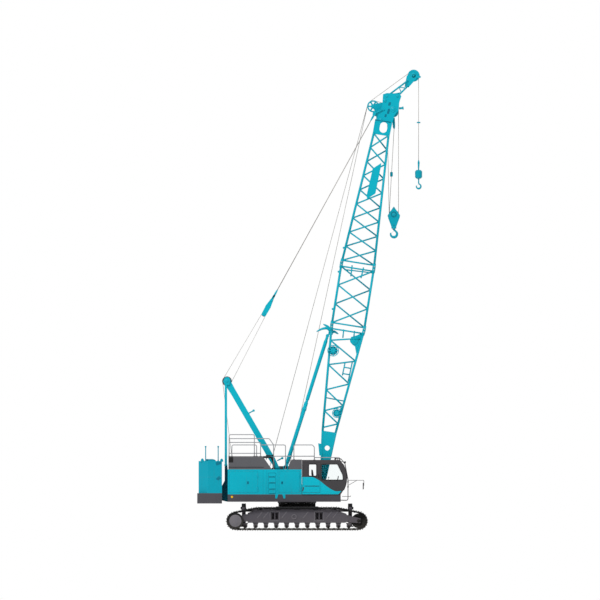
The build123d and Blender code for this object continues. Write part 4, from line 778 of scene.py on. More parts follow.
reeving, bends = [], []
for y in (np.arange(6) - 2.5) * ropeSizes["luffingLane"]:
    for face in (-1, 1):
        start = stayPlace((0, face * sheaves["gantry"][1], y))
        end = stayPlace((stayLine["falls"], face * sheaves["bridle"][1], y))
        reeving.append(ropeAlong([start, end], ropeSizes["luffing"], 8))
    bends.append(ropeAlong(onSheave("gantry", np.linspace(1.05, 1.05 + pi, 17), y), ropeSizes["luffing"], 8))
piece = addPiece("luffing_rope_falls", reeving, "ropeWire", None)
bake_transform(piece)
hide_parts("luffing_ropes")
addPiece("gantry_rope_bends", bends, "ropeWire", "upper_works")
touch = tangentAngle(sheaves["luffDrum"], sheaves["gantry"])
lead = ropeAlong([onSheave("luffDrum", touch, 0.18), onSheave("gantry", touch, 0.225)], ropeSizes["lead"])
addPiece("luffing_rope_lead", [lead], "ropeWire", "upper_works")

for word, drum, side, target, lastLane in (
        ("main", "rearDrum", -0.014, "head", -lane), ("aux", "frontDrum", 0.014, "aux", 0.0)):
    touch = tangentAngle(sheaves[drum], sheaves["guide"], True)
    start, end = onSheave(drum, touch, side), onSheave("guide", touch + pi, side)
    piece = addPiece(f"{word}_hoist_run", [ropeAlong([start, end])], "ropeWire", None)
    low, high = start + (end - start) * 0.04, start + (end - start) * 0.96
    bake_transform(piece)
    leave = tangentAngle(sheaves["guide"], sheaves[target])
    over = np.concatenate([onSheave("guide", np.linspace(touch + pi, leave, 9), side),
                           onSheave(target, np.linspace(leave, 0, 9), lastLane)])
    addPiece(f"{word}_head_rope", [ropeAlong(over)], "ropeWire", "boom")

(headX, headZ), headRadius = sheaves["head"]
(blockX, blockZ), blockRadius = sheaves["block"]
fallX, leftX = headX + headRadius, blockX - blockRadius
anchor = boomPlace((17.962, 0.594, 0.0)) + (0, lane, 0)
socketEnd = anchor + (0.03, 0, -0.48)
falls = [ropeAlong([(fallX, y, headZ), (fallX, y, blockZ)]) for y in (-lane, lane)]
falls.append(ropeAlong([(headX - headRadius, -lane, headZ), (leftX, -lane, blockZ)]))
falls.append(ropeAlong([socketEnd, (leftX, lane, blockZ)]))
piece = addPiece("main_hook_falls", falls, "ropeWire", None)
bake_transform(piece)
under = [ropeAlong(onSheave("block", np.linspace(pi, 2 * pi, 17), y)) for y in (-lane, lane)]
addPiece("block_rope_bends", under, "ropeWire", "main_hook_block")
addPiece("head_rope_bend", [ropeAlong(onSheave("head", np.linspace(pi, 0, 17), lane))], "ropeWire", "boom")

share = (socketEnd[2] - ropeSizes["weightZ"]) / (socketEnd[2] - blockZ)
weightPlace = (socketEnd[0] + (leftX - socketEnd[0]) * share, lane, ropeSizes["weightZ"])
cheek = np.add(ropeSizes["becketCheek"], anchor[[0, 2]])
tackle = [lathe(mirrored(ropeSizes["weight"]), weightPlace, (0, 0, 1), 28),
          lathe(ropeSizes["becket"], anchor, unit(socketEnd - anchor), 24),
          lathe(mirrored(ropeSizes["becketPin"]), anchor, segments=20)]
tackle += [sideSlab(cheek, lane + push * 0.014, lane + push * 0.032) for push in (-1, 1)]
piece = addPiece("rope_socket_and_weight", tackle, "hookTurquoise", "main_rope")
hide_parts("main_falls")

auxX, auxZ = sheaves["aux"][0][0] + sheaves["aux"][1], sheaves["aux"][0][1]
piece = addPiece("aux_fall", [ropeAlong([(auxX, 0, auxZ), (auxX, 0, ropeSizes["auxEnd"])])], "ropeWire", None)
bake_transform(piece)
disc = lathe(ropeSizes["disc"], (auxX, 0, ropeSizes["discZ"]), (0, 0, 1), 32)
piece = addPiece("aux_limit_disc", [disc], "hookTurquoise", "aux_rope")
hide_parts("aux_falls")

pendantPin = boomPlace((18.084, -0.33, 0))[[0, 2]]
pendantEnd = hypot(*(pendantPin - stayLine["peak"]))
strands, ends = [], []
for y in (-ropeSizes["pendantSide"], ropeSizes["pendantSide"]):
    strand = [stayPlace((4.8, 0, y)), stayPlace((pendantEnd - 0.3, 0, y))]
    strands.append(ropeAlong(strand, ropeSizes["pendant"], 12))
    for along, way in ((stayLine["bridleEnd"], 1), (pendantEnd, -1)):
        pin = stayPlace((along, 0, y))
        ends.append(lathe(ropeSizes["socket"], pin, (stayPlace((1, 0, 0)) - stayPlace((0, 0, 0))) * way, 20))
        ends.append(lathe(mirrored(ropeSizes["socketPin"]), pin, segments=20))
        for push in (-1, 1):
            low, high = sorted((y + push * 0.008, y + push * 0.025))
            ends.append(slab(ropeSizes["socketCheek"], low, high, lambda rows: stayPlace(
                np.c_[along + way * rows[:, 1], rows[:, 0], rows[:, 2]])))
piece = addPiece("pendant_ropes", strands, "ropeWire", "stays")
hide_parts("pendants")
addPiece("pendant_sockets", ends, "boomTurquoise", "stays")

drumTable = {                           # winding's radius and half width, and its turns
    "front": ("frontDrum", 0.3005), "rear": ("rearDrum", 0.3005), "luffing": ("luffDrum", 0.2205)}
drumHalf, drumTurns = 0.383, 29
for name, (drum, radius) in drumTable.items():
    heights = np.linspace(-drumHalf, drumHalf, drumTurns * 4 + 1)
    ridges = radius + 0.01 * np.abs(np.sin(np.linspace(0, drumTurns * pi, len(heights))))
    profile = np.r_[[(radius - 0.03, -drumHalf)], np.stack([ridges, heights], -1), [(radius - 0.03, drumHalf)]]
    (x, z), _ = sheaves[drum]
    addPiece(f"{name}_drum_rope", [ringLathe(profile, (x, 0, z), segments=40)], "woundWire", f"{name}_winch")
print("ropes: falls, runs, pendants and wound layers")


# Guard rails: bent tubes, forward and up corner by corner, with a foot where a run ends on a deck

railSizes = {
    "tube": 0.021, "bend": 0.09, "side": 1.51, "decks": (3.603, 2.966, 3.443, 3.425),
    "foot": ((0.024, 0.02), (0.055, 0.016), (0.055, 0.0), (0.024, -0.002)),
    "bothSides": (
        ((-3.28, 3.603), (-3.28, 4.647), (-2.06, 4.647), (-2.06, 3.603)),
        ((-3.28, 4.453), (-1.34, 4.453), (-1.13, 4.148), (-1.13, 2.966)),
        ((-3.28, 4.27), (-1.758, 4.27), (-1.758, 3.603)),
        ((-3.28, 3.743), (-1.758, 3.743)),
        ((-3.145, 3.603), (-3.145, 4.148), (-1.95, 4.148), (-1.95, 3.603)),
        ((-1.758, 4.148), (-0.555, 4.148), (-0.555, 2.966)),
        ((-1.13, 3.604), (-0.555, 3.604)),
    ),
    "cabSide": (
        ((-0.15, 3.443), (-0.15, 4.148), (0.74, 4.148), (0.837, 4.05), (0.837, 3.425)),
        ((-0.555, 3.604), (0.837, 3.604)),
        ((0.837, 3.538), (2.06, 3.538), (2.06, 3.425)),
    ),
}


def railShells(sizes, runs):
    shells = []
    for corners in runs:
        path = [(x, -sizes["side"], z) for x, z in corners]
        shells.append(bentTube(path, sizes["tube"], sizes["bend"]))
        ends = [end for end in (path[0], path[-1]) if end[2] in sizes["decks"]]
        shells += [lathe(sizes["foot"], end, (0, 0, 1), 18) for end in ends]
    return shells


rails = bothSides(railShells(railSizes, railSizes["bothSides"])) + railShells(railSizes, railSizes["cabSide"])
piece = addPiece("guard_rail_tubes", rails, "railGrey", "upper_works")
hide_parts("guard_rails")
print("guard rails")


# Cab: the turquoise cowl, window seals, handle, stay with its lamps and mirror, monitor and dash

cabSizes = {
    "face": -1.64, "inside": -0.73, "sheet": 0.011, "arc": ((2.111, 1.758), (2.385, 2.54), (2.08, 3.425)),
    "cowl": ((0.25, 2.6), (0.77, 2.6), (1.07, 2.45), (1.42, 2.16), (1.68, 1.985), (1.89, 1.9), (2.2, 1.93)),
    "sideWindow": ((1.17, 2.45), (1.17, 3.225), (1.96, 3.225), (2.215, 2.7), (2.235, 2.45)),
    "rearWindow": ((0.56, 2.64), (0.56, 3.225), (0.95, 3.225), (0.95, 2.64)),
    "screenHeights": (1.985, 3.235), "stay": (2.463, -1.56), "mirror": (3.176, -1.76, 2.16),
    "lampWay": (0.97, 0, -0.24),
    "lampPlaces": ((1.85, -1.56, 3.47), (2.318, -1.56, 3.31), (2.318, -0.86, 3.29)),
    "lowStrip": (0.25, 1.762, 1.117, 1.842), "doorStrip": (0.365, 2.147, 1.068, 2.175),
    "wiperSide": -1.19, "wiperHeights": (2.02, 2.92),
    "lamp": ((0.018, -0.045), (0.036, -0.042), (0.052, -0.006), (0.055, 0.02), (0.052, 0.03), (0.044, 0.032)),
    "lens": ((0.043, 0.0), (0.04, 0.006), (0.02, 0.011), (0.004, 0.012)),
    "dash": ((1.62, 1.808), (1.66, 2.1), (1.8, 2.4), (1.86, 2.46), (2.2, 2.46), (2.24, 2.4), (2.2, 2.0),
             (2.09, 1.808)),
}


def cowlSheet(sizes, start, end, low, nose=()):
    # a sheet whose upper edge follows the cowl's line, each height averaged over a short way on both sides
    along = np.linspace(start, end, 36)
    heights = np.interp(along[:, None] + np.linspace(-0.09, 0.09, 9), *np.transpose(sizes["cowl"])).mean(1)
    lower = [(start, low), *(nose or [(end, low)])]
    outline = np.concatenate([lower, np.c_[along, heights][::-1]])
    return sideSlab(outline, sizes["face"] - sizes["sheet"], sizes["face"] - 0.001)


def windowSeal(corners, across):
    # a flat rubber section carried round a window's edge
    return carryRound(roundedLoop(corners, 0.07), across, roundedOutline(0.018, 0.048, 0.008, 3))


def arcReach(sizes, heights):
    # how far forward the cab's front is at some heights: on the circle through its three points
    (ax, az), (bx, bz), (cx, cz) = sizes["arc"]
    rows = np.array([[bx - ax, bz - az], [cx - ax, cz - az]])
    square = np.array([bx ** 2 + bz ** 2, cx ** 2 + cz ** 2]) - ax ** 2 - az ** 2
    middle = np.linalg.solve(rows, square / 2)
    radius = hypot(ax - middle[0], az - middle[1])
    return middle[0] + np.sqrt(radius ** 2 - (np.asarray(heights) - middle[1]) ** 2)


face, inside = cabSizes["face"], cabSizes["inside"]
lowStrip = sideSlab(boxOutline(*cabSizes["lowStrip"]), face - 0.011, face - 0.001)
addPiece("cab_cowl", [cowlSheet(cabSizes, 1.118, 2.15, 1.762, [(2.0, 1.762), (2.15, 1.93)]),
                      cowlSheet(cabSizes, 0.25, 0.282, 1.843), lowStrip], "cowlTurquoise", "upper_works", 0.003)
addPiece("cab_door_cowl", [cowlSheet(cabSizes, 0.292, 1.107, 1.853)], "cowlTurquoise", "cab_door_leaf", 0.003)
handle = [(1.045, face - out, z) for out, z in ((0, 2.745), (0.055, 2.745), (0.055, 2.56), (0, 2.56))]
addPiece("cab_door_trim", [sideSlab(roundedBox(*cabSizes["doorStrip"], 0.012), face - 0.017, face - 0.009),
                           bentTube(handle, 0.011, 0.03), windowSeal(cabSizes["rearWindow"], face - 0.004)],
         "trimBlack", "cab_door_leaf")
seals = [windowSeal(cabSizes["sideWindow"], face - 0.004), windowSeal(cabSizes["sideWindow"], inside + 0.004),
         windowSeal(cabSizes["rearWindow"], inside + 0.004)]
low, high = cabSizes["screenHeights"]
heights = np.r_[np.linspace(low, high, 15), np.full(7, high), np.linspace(high, low, 15), np.full(7, low)]
across = np.linspace(-1.5, -0.87, 7)
sides = np.r_[np.full(15, -1.555), across, np.full(15, -0.815), across[::-1]]
screen = np.c_[arcReach(cabSizes, heights) + 0.004, sides, heights]
seals.append(carry(screen, circle(0.019, 8), (1, 0, 0), True))
wiperY, blade = cabSizes["wiperSide"], np.linspace(*cabSizes["wiperHeights"], 9)
seals.append(tube((2.165, wiperY, 1.93), (arcReach(cabSizes, 2.0) + 0.03, wiperY, 2.0), 0.022, 12))
wiper = np.c_[arcReach(cabSizes, blade) + 0.03, wiperY + (blade - blade[0]) * 0.25, blade]
seals.append(carry(wiper, roundedOutline(0.014, 0.026, 0.005, 3), (1, 0, 0)))
addPiece("cab_window_seals", seals, "blackRubber", "upper_works")

stayX, stayY = cabSizes["stay"]
stayTop, rungReach = (2.318, 3.24), 0.075
stayRun = ((2.111, 1.481), (stayX, 1.47), (stayX, 2.47), stayTop, (2.12, 3.48), (1.845, 3.49))
stay = [bentTube([(x, stayY, z) for x, z in stayRun], 0.02, 0.1),
        bentTube([(2.18, -1.5, 1.66), (2.59, -1.5, 1.66), (2.59, -1.5, 1.7)], 0.012, 0.03, 8),
        bentTube([(3.15, -1.7432, 2.439), (3.23, -1.7648, 2.439), (3.23, -1.7648, 2.18)], 0.012, 0.05, 10),
        tube((stayX, stayY, 2.439), (3.212, -1.76, 2.439), 0.011, 10),
        tube((stayX, stayY, 2.19), (2.88, -1.671, 2.43), 0.011, 10)]
stay += bars([((1.94, 3.487), (1.94, 3.424))], stayY, 0.018, 12)
stay += bars([((stayX, 2.33), (stayX, 2.41)), ((stayX, 2.09), (stayX, 2.17))], stayY, 0.031, 16)
rungs = np.linspace(2.56, 3.16, 9)
reach = np.interp(rungs, (2.47, stayTop[1]), (stayX, stayTop[0]))
stay += bars([((x, z), (x - rungReach, z - 0.02)) for x, z in zip(reach, rungs)], stayY, 0.01, 8)
stay += bars([((reach[0] - rungReach, rungs[0] - 0.04), (reach[-1] - rungReach, rungs[-1]))], stayY, 0.01, 8)


def mirrorPlace(rows):
    # depth forward, width across and height, about the mirror's middle
    return rows[..., [2, 0, 1]] + cabSizes["mirror"]


mirror = roundedOutline(0.23, 0.32, 0.05)
rims = [np.c_[mirror * grown, np.full(len(mirror), depth)]
        for grown, depth in ((0.86, 0.05), (0.97, 0.042), (1.0, 0.02), (1.0, 0.0))]
stay.append(gridShell(mirrorPlace(np.stack(rims))))
piece = addPiece("mirror_and_stay", stay, "cabGrey", "upper_works")
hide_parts("mirror_stay")
addPiece("mirror_glass", [slab(mirror * 0.93, -0.003, 0.001, mirrorPlace)], "mirrorFace", "upper_works")
lampWay, lampPlaces = cabSizes["lampWay"], cabSizes["lampPlaces"]
addPiece("cab_lamps", [lathe(cabSizes["lamp"], place, lampWay, 24) for place in lampPlaces]
         + [tube((2.1, -0.86, 3.36), (2.3, -0.86, 3.3), 0.012, 8)], "trimBlack", "upper_works")
addPiece("cab_lamp_lenses", [lathe(cabSizes["lens"], np.add(place, (0.031, 0, -0.0077)), lampWay, 24)
                             for place in lampPlaces], "lampGlass", "upper_works")
monitor = slab(roundedOutline(0.22, 0.17, 0.02), 0.0, 0.045, lambda rows: np.stack(
    [1.96 + rows[:, 2] + rows[:, 1] * 0.2, -1.43 + rows[:, 0], 2.56 + rows[:, 1]], -1))
addPiece("cab_monitor_and_dash", [
    monitor, sideSlab(cabSizes["dash"], -1.52, -1.3),
    tube((1.975, -1.43, 2.43), (1.975, -1.43, 2.5), 0.018, 12),
    bentTube([(1.507, -1.4, 2.3), (1.49, -1.4, 2.44), (1.53, -1.4, 2.56)], 0.012, 0.05, 8),
    lathe([(0.01, -0.03), (0.026, -0.02), (0.028, 0.01), (0.016, 0.032)], (1.532, -1.4, 2.58), (0.2, 0, 1), 16),
], "mouldedPlastic", "upper_works", 0.006)
print("cab: cowl, seals, stay, mirror and lamps")


# Operator's seat and side consoles: crowned pads on a bellows, consoles with joysticks

seatSizes = {
    "centre": (1.0, -1.185), "floor": 1.8033, "cushion": (0.245, 0.235, 0.06), "cushionRise": 0.44,
    "back": (0.36, 0.225, 0.052), "backPlace": (0.765, 0.815), "lean": 0.123, "mountRise": 0.372,
    "consoleSide": 0.32, "consoleHalf": 0.062,
    "console": ((0.76, 0.002), (1.18, 0.002), (1.34, 0.34), (1.35, 0.58), (1.31, 0.615), (0.8, 0.59),
                (0.75, 0.54)),
    "boot": ((0.04, 0.0), (0.034, 0.012), (0.03, 0.012), (0.024, 0.026), (0.02, 0.026), (0.012, 0.042)),
}


def crownedPad(sizes, pull=0.045, corner=0.36, edge=0.62):
    # a closed cushion: its sides pull in between the corners, and it is crowned to the middle
    def power(value, share):
        return np.sign(value) * np.abs(value) ** share

    around = turnsRound(64)
    rise = np.linspace(-pi / 2 + 0.05, pi / 2 - 0.05, 25)
    ring = 1 - pull * np.cos(2 * around) ** 2
    plan = np.stack([power(np.cos(around), corner), power(np.sin(around), corner)], -1) * ring[:, None]
    flat = plan[None] * power(np.cos(rise), 0.45)[:, None, None]
    crown = 1 - 0.35 * np.clip((flat ** 2).sum(-1) / 2, 0, 1)
    welt = 1 + 0.03 * np.exp(-(rise / 0.10) ** 2)[:, None]
    return np.stack([flat[..., 0] * sizes[0] * welt, flat[..., 1] * sizes[1] * welt,
                     power(np.sin(rise), edge)[:, None] * crown * sizes[2]], -1)


(seatX, seatY), floorZ = seatSizes["centre"], seatSizes["floor"]
cushion = crownedPad(seatSizes["cushion"]) + (seatX, seatY, floorZ + seatSizes["cushionRise"])
cushion[..., 2] -= 0.012 * np.exp(-((cushion[..., :2] - (seatX, seatY)) ** 2).sum(-1) / 0.02)
piece = addPiece("seat_cushion", [gridShell(cushion)], "seatVinyl", "upper_works")
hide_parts("operator_seat")
up, across, out = np.moveaxis(crownedPad(seatSizes["back"]), -1, 0)
out = out - 0.01 * np.abs(np.sin(up * pi / 0.24)) ** 8
leanCos, leanSin = cos(seatSizes["lean"]), sin(seatSizes["lean"])
backX, backZ = seatSizes["backPlace"]
back = np.stack([backX + out * leanCos - up * leanSin, seatY + across,
                 floorZ + backZ + up * leanCos + out * leanSin], -1)
piece = addPiece("seat_back_pad", [gridShell(back)], "seatVinyl", "upper_works")

folds = np.linspace(0, 1, 25)
line = np.full((25, 3), (seatX, seatY, floorZ + 0.002))
line[:, 2] += folds * seatSizes["mountRise"]
mount = carry(line, roundedOutline(0.27, 0.27, 0.05), (0, 1, 0), grow=0.96 + 0.04 * np.cos(folds * 12 * pi))
hinge = tube((seatX - 0.19, seatY - 0.1, floorZ + 0.4), (seatX - 0.19, seatY + 0.1, floorZ + 0.4), 0.022)
addPiece("seat_mount", [mount, hinge], "mouldedPlastic", "upper_works")
consoles = []
for side in (-1, 1):
    y, half = seatY + side * seatSizes["consoleSide"], seatSizes["consoleHalf"]
    stick = [(x, y, floorZ + z) for x, z in ((1.26, 0.6), (1.255, 0.69), (1.235, 0.745))]
    consoles += [sideSlab(roundedLoop(np.add(seatSizes["console"], (0, floorZ)), 0.03), y - half, y + half),
                 bentTube(stick, 0.009, 0.02, 10),
                 dome(0.022, 12, 0.05, (1.232, y, floorZ + 0.758), (-0.2, 0, 1), 0.04 / 0.022),
                 lathe(seatSizes["boot"], (1.262, y, floorZ + 0.604), (0, 0, 1), 24)]
piece = addPiece("consoles_and_joysticks", consoles, "mouldedPlastic", "upper_works", 0.004)
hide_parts("control_consoles")
print("cab: seat, mount and consoles")


# Wheels, reels and what is fastened to the boom; stations run up the boom, depths in front of its axis

boomTrim = {
    "plate": ((13.914, -0.06), (14.25, 0.3), (15.62, 0.358), (15.748, 0.345), (15.42, -0.02), (14.1, -0.11)),
    "plateBolts": ((14.25, 0.0), (14.4, 0.24), (15.3, 0.03), (15.48, 0.28)),
    "reels": ((6.433, -0.533, 0.28), (3.48, 0.12, 0.235)), "reelFaces": (-0.931, -0.861), "reelMiddle": -0.896,
    "horns": (((1.62, 9.66), (1.47, 9.8), (1.2, 9.76), (0.943, 9.62)),
              ((1.63, 9.62), (1.5, 9.86), (1.27, 9.98)), ((1.6, 9.56), (1.8, 9.63), (2.0, 9.51))),
    "hornSide": 0.45,
    "hornPlate": ((1.5, 9.46), (1.72, 9.46), (1.76, 9.66), (1.7, 9.84), (1.56, 9.84)),
    "backPlate": ((-0.3, 1.33), (-0.3, 1.9), (-0.545, 1.9), (-0.4, 1.33)),
    "pendantLink": ((18.084, -0.33, 0.545), (18.29, 0.02, 0.5), (18.29, 0.1, 0.47)),
    "bosses": ((18.4, 0.507, 0.15), (17.8, 0, 0.095), (18.75, 0.05, 0.095), (18.084, -0.33, 0.085),
               (18.971, 0.111, 0.07), (19.051, 0.617, 0.07)),
    "jibBars": (((18.971, 0.111), (19.883, 0.994)), ((19.051, 0.617), (19.626, 1.035))),
    "jibSides": (0.34, 0.09),
    "arm": ((5.56, 21.9), (5.95, 21.87), (5.995, 21.93), (5.95, 21.97), (5.58, 22.06)),
    "bracket": ((2.6, 9.36), (2.88, 9.44), (3.12, 9.55), (3.15, 9.46), (3.05, 9.02), (2.92, 8.46), (2.87, 8.5),
                (2.8, 8.9), (2.66, 9.0)), "bracketFaces": (-0.72, 0.66), "disc": ((2.754, 9.19), 0.195),
    # ladder, tie bar, rods and a bar at the upper joint, each with its side, radius and number of faces
    "bars": (
        ((((2.323, 8.134), (2.193, 7.506)), ((2.68, 8.197), (2.47, 7.206)), ((2.3, 7.897), (2.62, 7.84)),
          ((2.215, 7.593), (2.55, 7.54)), ((2.258, 9.728), (2.213, 9.317)), ((2.78, 9.66), (2.74, 9.34)),
          ((2.02, 5.42), (2.13, 5.96))), -0.745, 0.032, 10),
        ((((1.4, 6.43), (2.25, 6.27)),), 0.72, 0.03, 10),
        ((((2.665, 12.83), (2.6, 12.29)), ((3.215, 12.72), (3.09, 12.2))), -0.735, 0.034, 12),
        ((((2.27, 12.62), (3.7, 12.45)),), 0.735, 0.03, 12)),
    "rollers": (11.42, 10.24, 8.42), "stub": ((4.93, 0.3, 20.4), (5.11, 0.3, 20.42)),
    "stubFlange": ((0.07, -0.02), (0.078, -0.01), (0.078, 0.03), (0.06, 0.04)),
    "recesses": ((4.47, 20.62, 0.11, 0.16), (4.42, 20.26, 0.11, 0.24), (4.28, 20.05, 0.09, 0.14)),
}


def spokedWheel(centre, outer, inner, hub, bore, half, spokes, groove=None, web=0.09):
    # a rim and a hub turned about the cross axis, joined by flat spokes
    centre, groove = np.asarray(centre, float), groove or outer
    rim = mirrored([(inner, -half), (outer, -half), (outer, -half * 0.8), (groove, -half * 0.35)])
    core = mirrored([(bore, -half * 1.05), (hub, -half * 1.05)])
    section = roundedOutline(half * 0.9, web, half * 0.3, 2)
    shells = [ringLathe(rim, centre), ringLathe(core, centre, segments=32)]
    for turn in turnsRound(spokes):
        way = np.array([cos(turn), 0, sin(turn)])
        ends = [centre + way * hub * 0.92, centre + way * (inner + 0.006)]
        shells.append(carry(ends, section, (0, 1, 0), smooth=False))
    return shells


def boltRing(centre, axis, radius, count, size=0.014, rise=0.010):
    # bolt heads of six sides round an axis
    first, second = crossWays(unit(axis))
    head = [(size, -0.002), (size, rise * 0.7), (size * 0.7, rise)]
    return [lathe(head, np.add(centre, (first * cos(turn) + second * sin(turn)) * radius), axis, 6, False)
            for turn in turnsRound(count)]


def boss(centre, radius, rise, bolts=6, side=1):
    # a round cover with a turned-down edge and its bolts, facing the left side or, for -1, the right one
    axis = (0, side, 0)
    cover = lathe([(radius, -0.004), (radius, rise * 0.6), (radius * 0.94, rise), (radius * 0.34, rise),
                   (radius * 0.3, rise * 1.6), (radius * 0.1, rise * 1.7)], centre, axis, 32)
    top = np.add(centre, (0, side * rise, 0))
    return [cover] + boltRing(top, axis, radius * 0.66, bolts, radius * 0.11, rise * 0.5)


guideX, guideZ = sheaves["guide"][0]
wheel = spokedWheel((guideX, 0, guideZ), outer=0.290, inner=0.222, hub=0.104, bore=0.0565, half=0.028, spokes=6,
                    groove=0.262, web=0.075)
piece = addPiece("guide_wheel", wheel, "boomTurquoise", "guide_sheave_wheel")
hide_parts("guide_sheave")

reelShells, hose = [], []
for station, depth, radius in boomTrim["reels"]:
    x, y, z = middle = boomPlace((station, depth, boomTrim["reelMiddle"]))
    for across in boomTrim["reelFaces"]:
        reelShells += spokedWheel((x, across, z), radius, radius * 0.86, radius * 0.42, bore=0.03, half=0.01,
                                  spokes=8, web=0.045)
    core = radius * 0.4
    reelShells.append(lathe([(0.02, -0.045), (core, -0.045), (core, 0.06), (0.05, 0.065)], middle))
    heights = np.linspace(-0.024, 0.024, 25)
    coil = radius * 0.74 + 0.008 * np.abs(np.sin(np.linspace(0, 3 * pi, 25)))
    winding = np.r_[[(core, -0.024)], np.stack([coil, heights], -1), [(core, 0.024)]]
    hose.append(ringLathe(winding, middle, segments=40))
piece = addPiece("cable_reel_wheels", reelShells, "boomTurquoise", "boom")
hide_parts("cable_reels")
addPiece("reel_hose", hose, "darkTurquoiseAndPaintedShade", "boom")


def jibPlace(bar, share):
    # a place along one of the auxiliary jib's bars, which draw together towards its head
    start, end = np.array(boomTrim["jibBars"][bar])
    return boomPlace((*(start + (end - start) * share), np.interp(share, (0, 1), boomTrim["jibSides"])))


backPlate = slab(boomTrim["backPlate"], 0.655, 0.695, lambda rows: boomPlace(rows[:, [1, 0, 2]]))
hornY = boomTrim["hornSide"]
trim = [backPlate, sideSlab(boomTrim["hornPlate"], hornY - 0.03, hornY + 0.03),
        tube((1.62, 0.42, 9.62), chordPlace(7.42, 0, 1), 0.035)]
share = np.linspace(0, 1, 12)
for line in boomTrim["horns"]:
    marks = np.linspace(0, 1, len(line))
    bent = np.stack([np.interp(share, marks, row) for row in np.transpose(line)] + [np.full(12, hornY)], -1)
    bent[1:-1] = (bent[:-2] + bent[1:-1] * 2 + bent[2:]) / 4
    taper = np.interp(share, (0, 0.8, 1), (1, 0.55, 0.25))
    trim.append(carry(sidePlace(bent), circle(0.088, 10), (0, 1, 0), grow=taper))
link = [boomPlace(place) for place in boomTrim["pendantLink"]]
trim += [tube(start, end, 0.034, 12) for start, end in zip(link, link[1:])]
for station, depth, size in boomTrim["bosses"]:
    trim += boss(boomPlace((station, depth, 0.47)), size, 0.014)
stops = [jibPlace(number % 2, share) for number, share in enumerate((0.1, 0.36, 0.58, 0.8))]
trim += [tube(start, end, 0.022, 10) for start, end in zip(stops, stops[1:])]
trim += [tube(jibPlace(bar, 0), jibPlace(bar, 1), 0.0415) for bar in (0, 1)]
auxMiddle, _ = sheaves["aux"]
trim += boss((auxMiddle[0], 0.072, auxMiddle[1]), 0.105, 0.012)
trim.append(sideSlab(roundedLoop(boomTrim["arm"], 0.02), 0.074, 0.084))
stubStart, stubEnd = boomTrim["stub"]
trim += [tube(stubStart, stubEnd, 0.052), lathe(boomTrim["stubFlange"], stubEnd, (1, 0, 0.1))]
trim = bothSides(trim)

trim.append(lathe(mirrored([(0.022, -0.11), (0.036, -0.104)]), (5.95, 0, 21.92), segments=20))
for end in [jibPlace(bar, share) for share in (0.12, 0.7) for bar in (0, 1)]:
    trim.append(tube(end, end * (1, -1, 1), 0.022, 10))
trim.append(slab(boomTrim["plate"], -0.004, 0.004, lambda rows: boomPlace(np.c_[
    rows[:, :2], rows[:, 2] - chordPlace(rows[:, 0], 1, np.ones(len(rows)))[:, 1] - 0.052])))
for station, depth in boomTrim["plateBolts"]:
    across = chordPlace(station, 1, -1)[1] - 0.056
    trim += boltRing(boomPlace((station, depth, across)), (0, -1, 0), 0.0, 1)
(discX, discZ), discRadius = boomTrim["disc"]
for y in boomTrim["bracketFaces"]:
    trim.append(sideSlab(boomTrim["bracket"], y, y + 0.022))
    trim.append(sideSlab(circle(discRadius, 24) + (discX, discZ), y - 0.03, y + 0.05))
    trim += boss((discX, y - 0.028, discZ), 0.165, 0.012, 8, -1)
    trim += bars([((2.9, 8.62), (3.1, 9.48))], y + 0.011, 0.03)
for rows, y, radius, sides in boomTrim["bars"]:
    trim += bars(rows, y, radius, sides)
push = (boomPlace((0, -1, 0)) - boomPlace((0, 0, 0))) * 0.075
for station in boomTrim["rollers"]:
    ends = [chordPlace(station, 0, side) for side in (-1, 1)]
    trim.append(tube(ends[0] + push, ends[1] + push, 0.03, 12))
    trim.append(lathe(mirrored([(0.031, -0.26), (0.052, -0.25)]), sum(ends) / 2 + push, segments=20))
    trim += [tube(end, end + push * 1.25, 0.04, 12) for end in ends]
addPiece("boom_fittings", trim, "boomTurquoise", "boom")

# painted shade on the head: its recesses as dark leaning frames, and the flange below them as a dark bar
paintedHeadShade = bars([((3.8, 19.845), (4.53, 19.73))], 0.47, 0.022)
for x, z, wide, tall in boomTrim["recesses"]:
    outline = np.array(boxOutline(-wide / 2, -tall / 2, wide / 2, tall / 2))
    outline[:, 0] += outline[:, 1] * 0.24
    paintedHeadShade.append(sideSlab(roundedLoop(outline + (x, z), 0.03), 0.468, 0.476))
addPiece("head_recesses_painted_shade", bothSides(paintedHeadShade), "darkTurquoiseAndPaintedShade", "boom")

backstopSizes = {
    "foot": (-0.546, 3.06), "eye": (7.1, -0.911), "side": 0.62,
    "barrel": ((0.02, 0.2), (0.07, 0.21), (0.095, 0.27), (0.095, 3.265), (0.088, 3.3), (0.0705, 3.3),
               (0.0705, 0.58), (0.01, 0.57)),
    "collar": ((0.095, 2.9), (0.112, 2.91), (0.112, 3.02), (0.095, 3.03)),
    "fork": ((0.09, -0.08), (0.09, 0.08), (0.3, 0.09), (0.34, 0.0), (0.3, -0.09)),
}
run = boomPlace((*backstopSizes["eye"], 0))[[0, 2]] - backstopSizes["foot"]
reach, way = hypot(*run), unit(run)
lean = np.array([-way[1], way[0]])
axis = (way[0], 0, way[1])
fork = [np.add(backstopSizes["foot"], way * along + lean * across) for along, across in backstopSizes["fork"]]
(footX, footZ), footY = backstopSizes["foot"], backstopSizes["side"]
foot = (footX, footY, footZ)
sleeve = [(0.0685, 3.42), (0.086, 3.44), (0.088, 3.5), (0.088, reach - 0.3), (0.078, reach - 0.24),
          (0.069, reach - 0.22)]
addPiece("backstop_sleeves", bothSides([lathe(sleeve, foot, axis, 24)]), "boomTurquoise", "backstop_upper")
cylinders = [lathe(backstopSizes["barrel"], foot, axis, 32), lathe(backstopSizes["collar"], foot, axis, 32),
             ringLathe(mirrored([(0.0775, -0.085), (0.125, -0.085)]), foot, segments=40)]
cylinders += [sideSlab(fork, footY + push - 0.014, footY + push + 0.014) for push in (-0.045, 0.045)]
piece = addPiece("backstop_cylinders", bothSides(cylinders), "boomTurquoise", "backstop_lower")
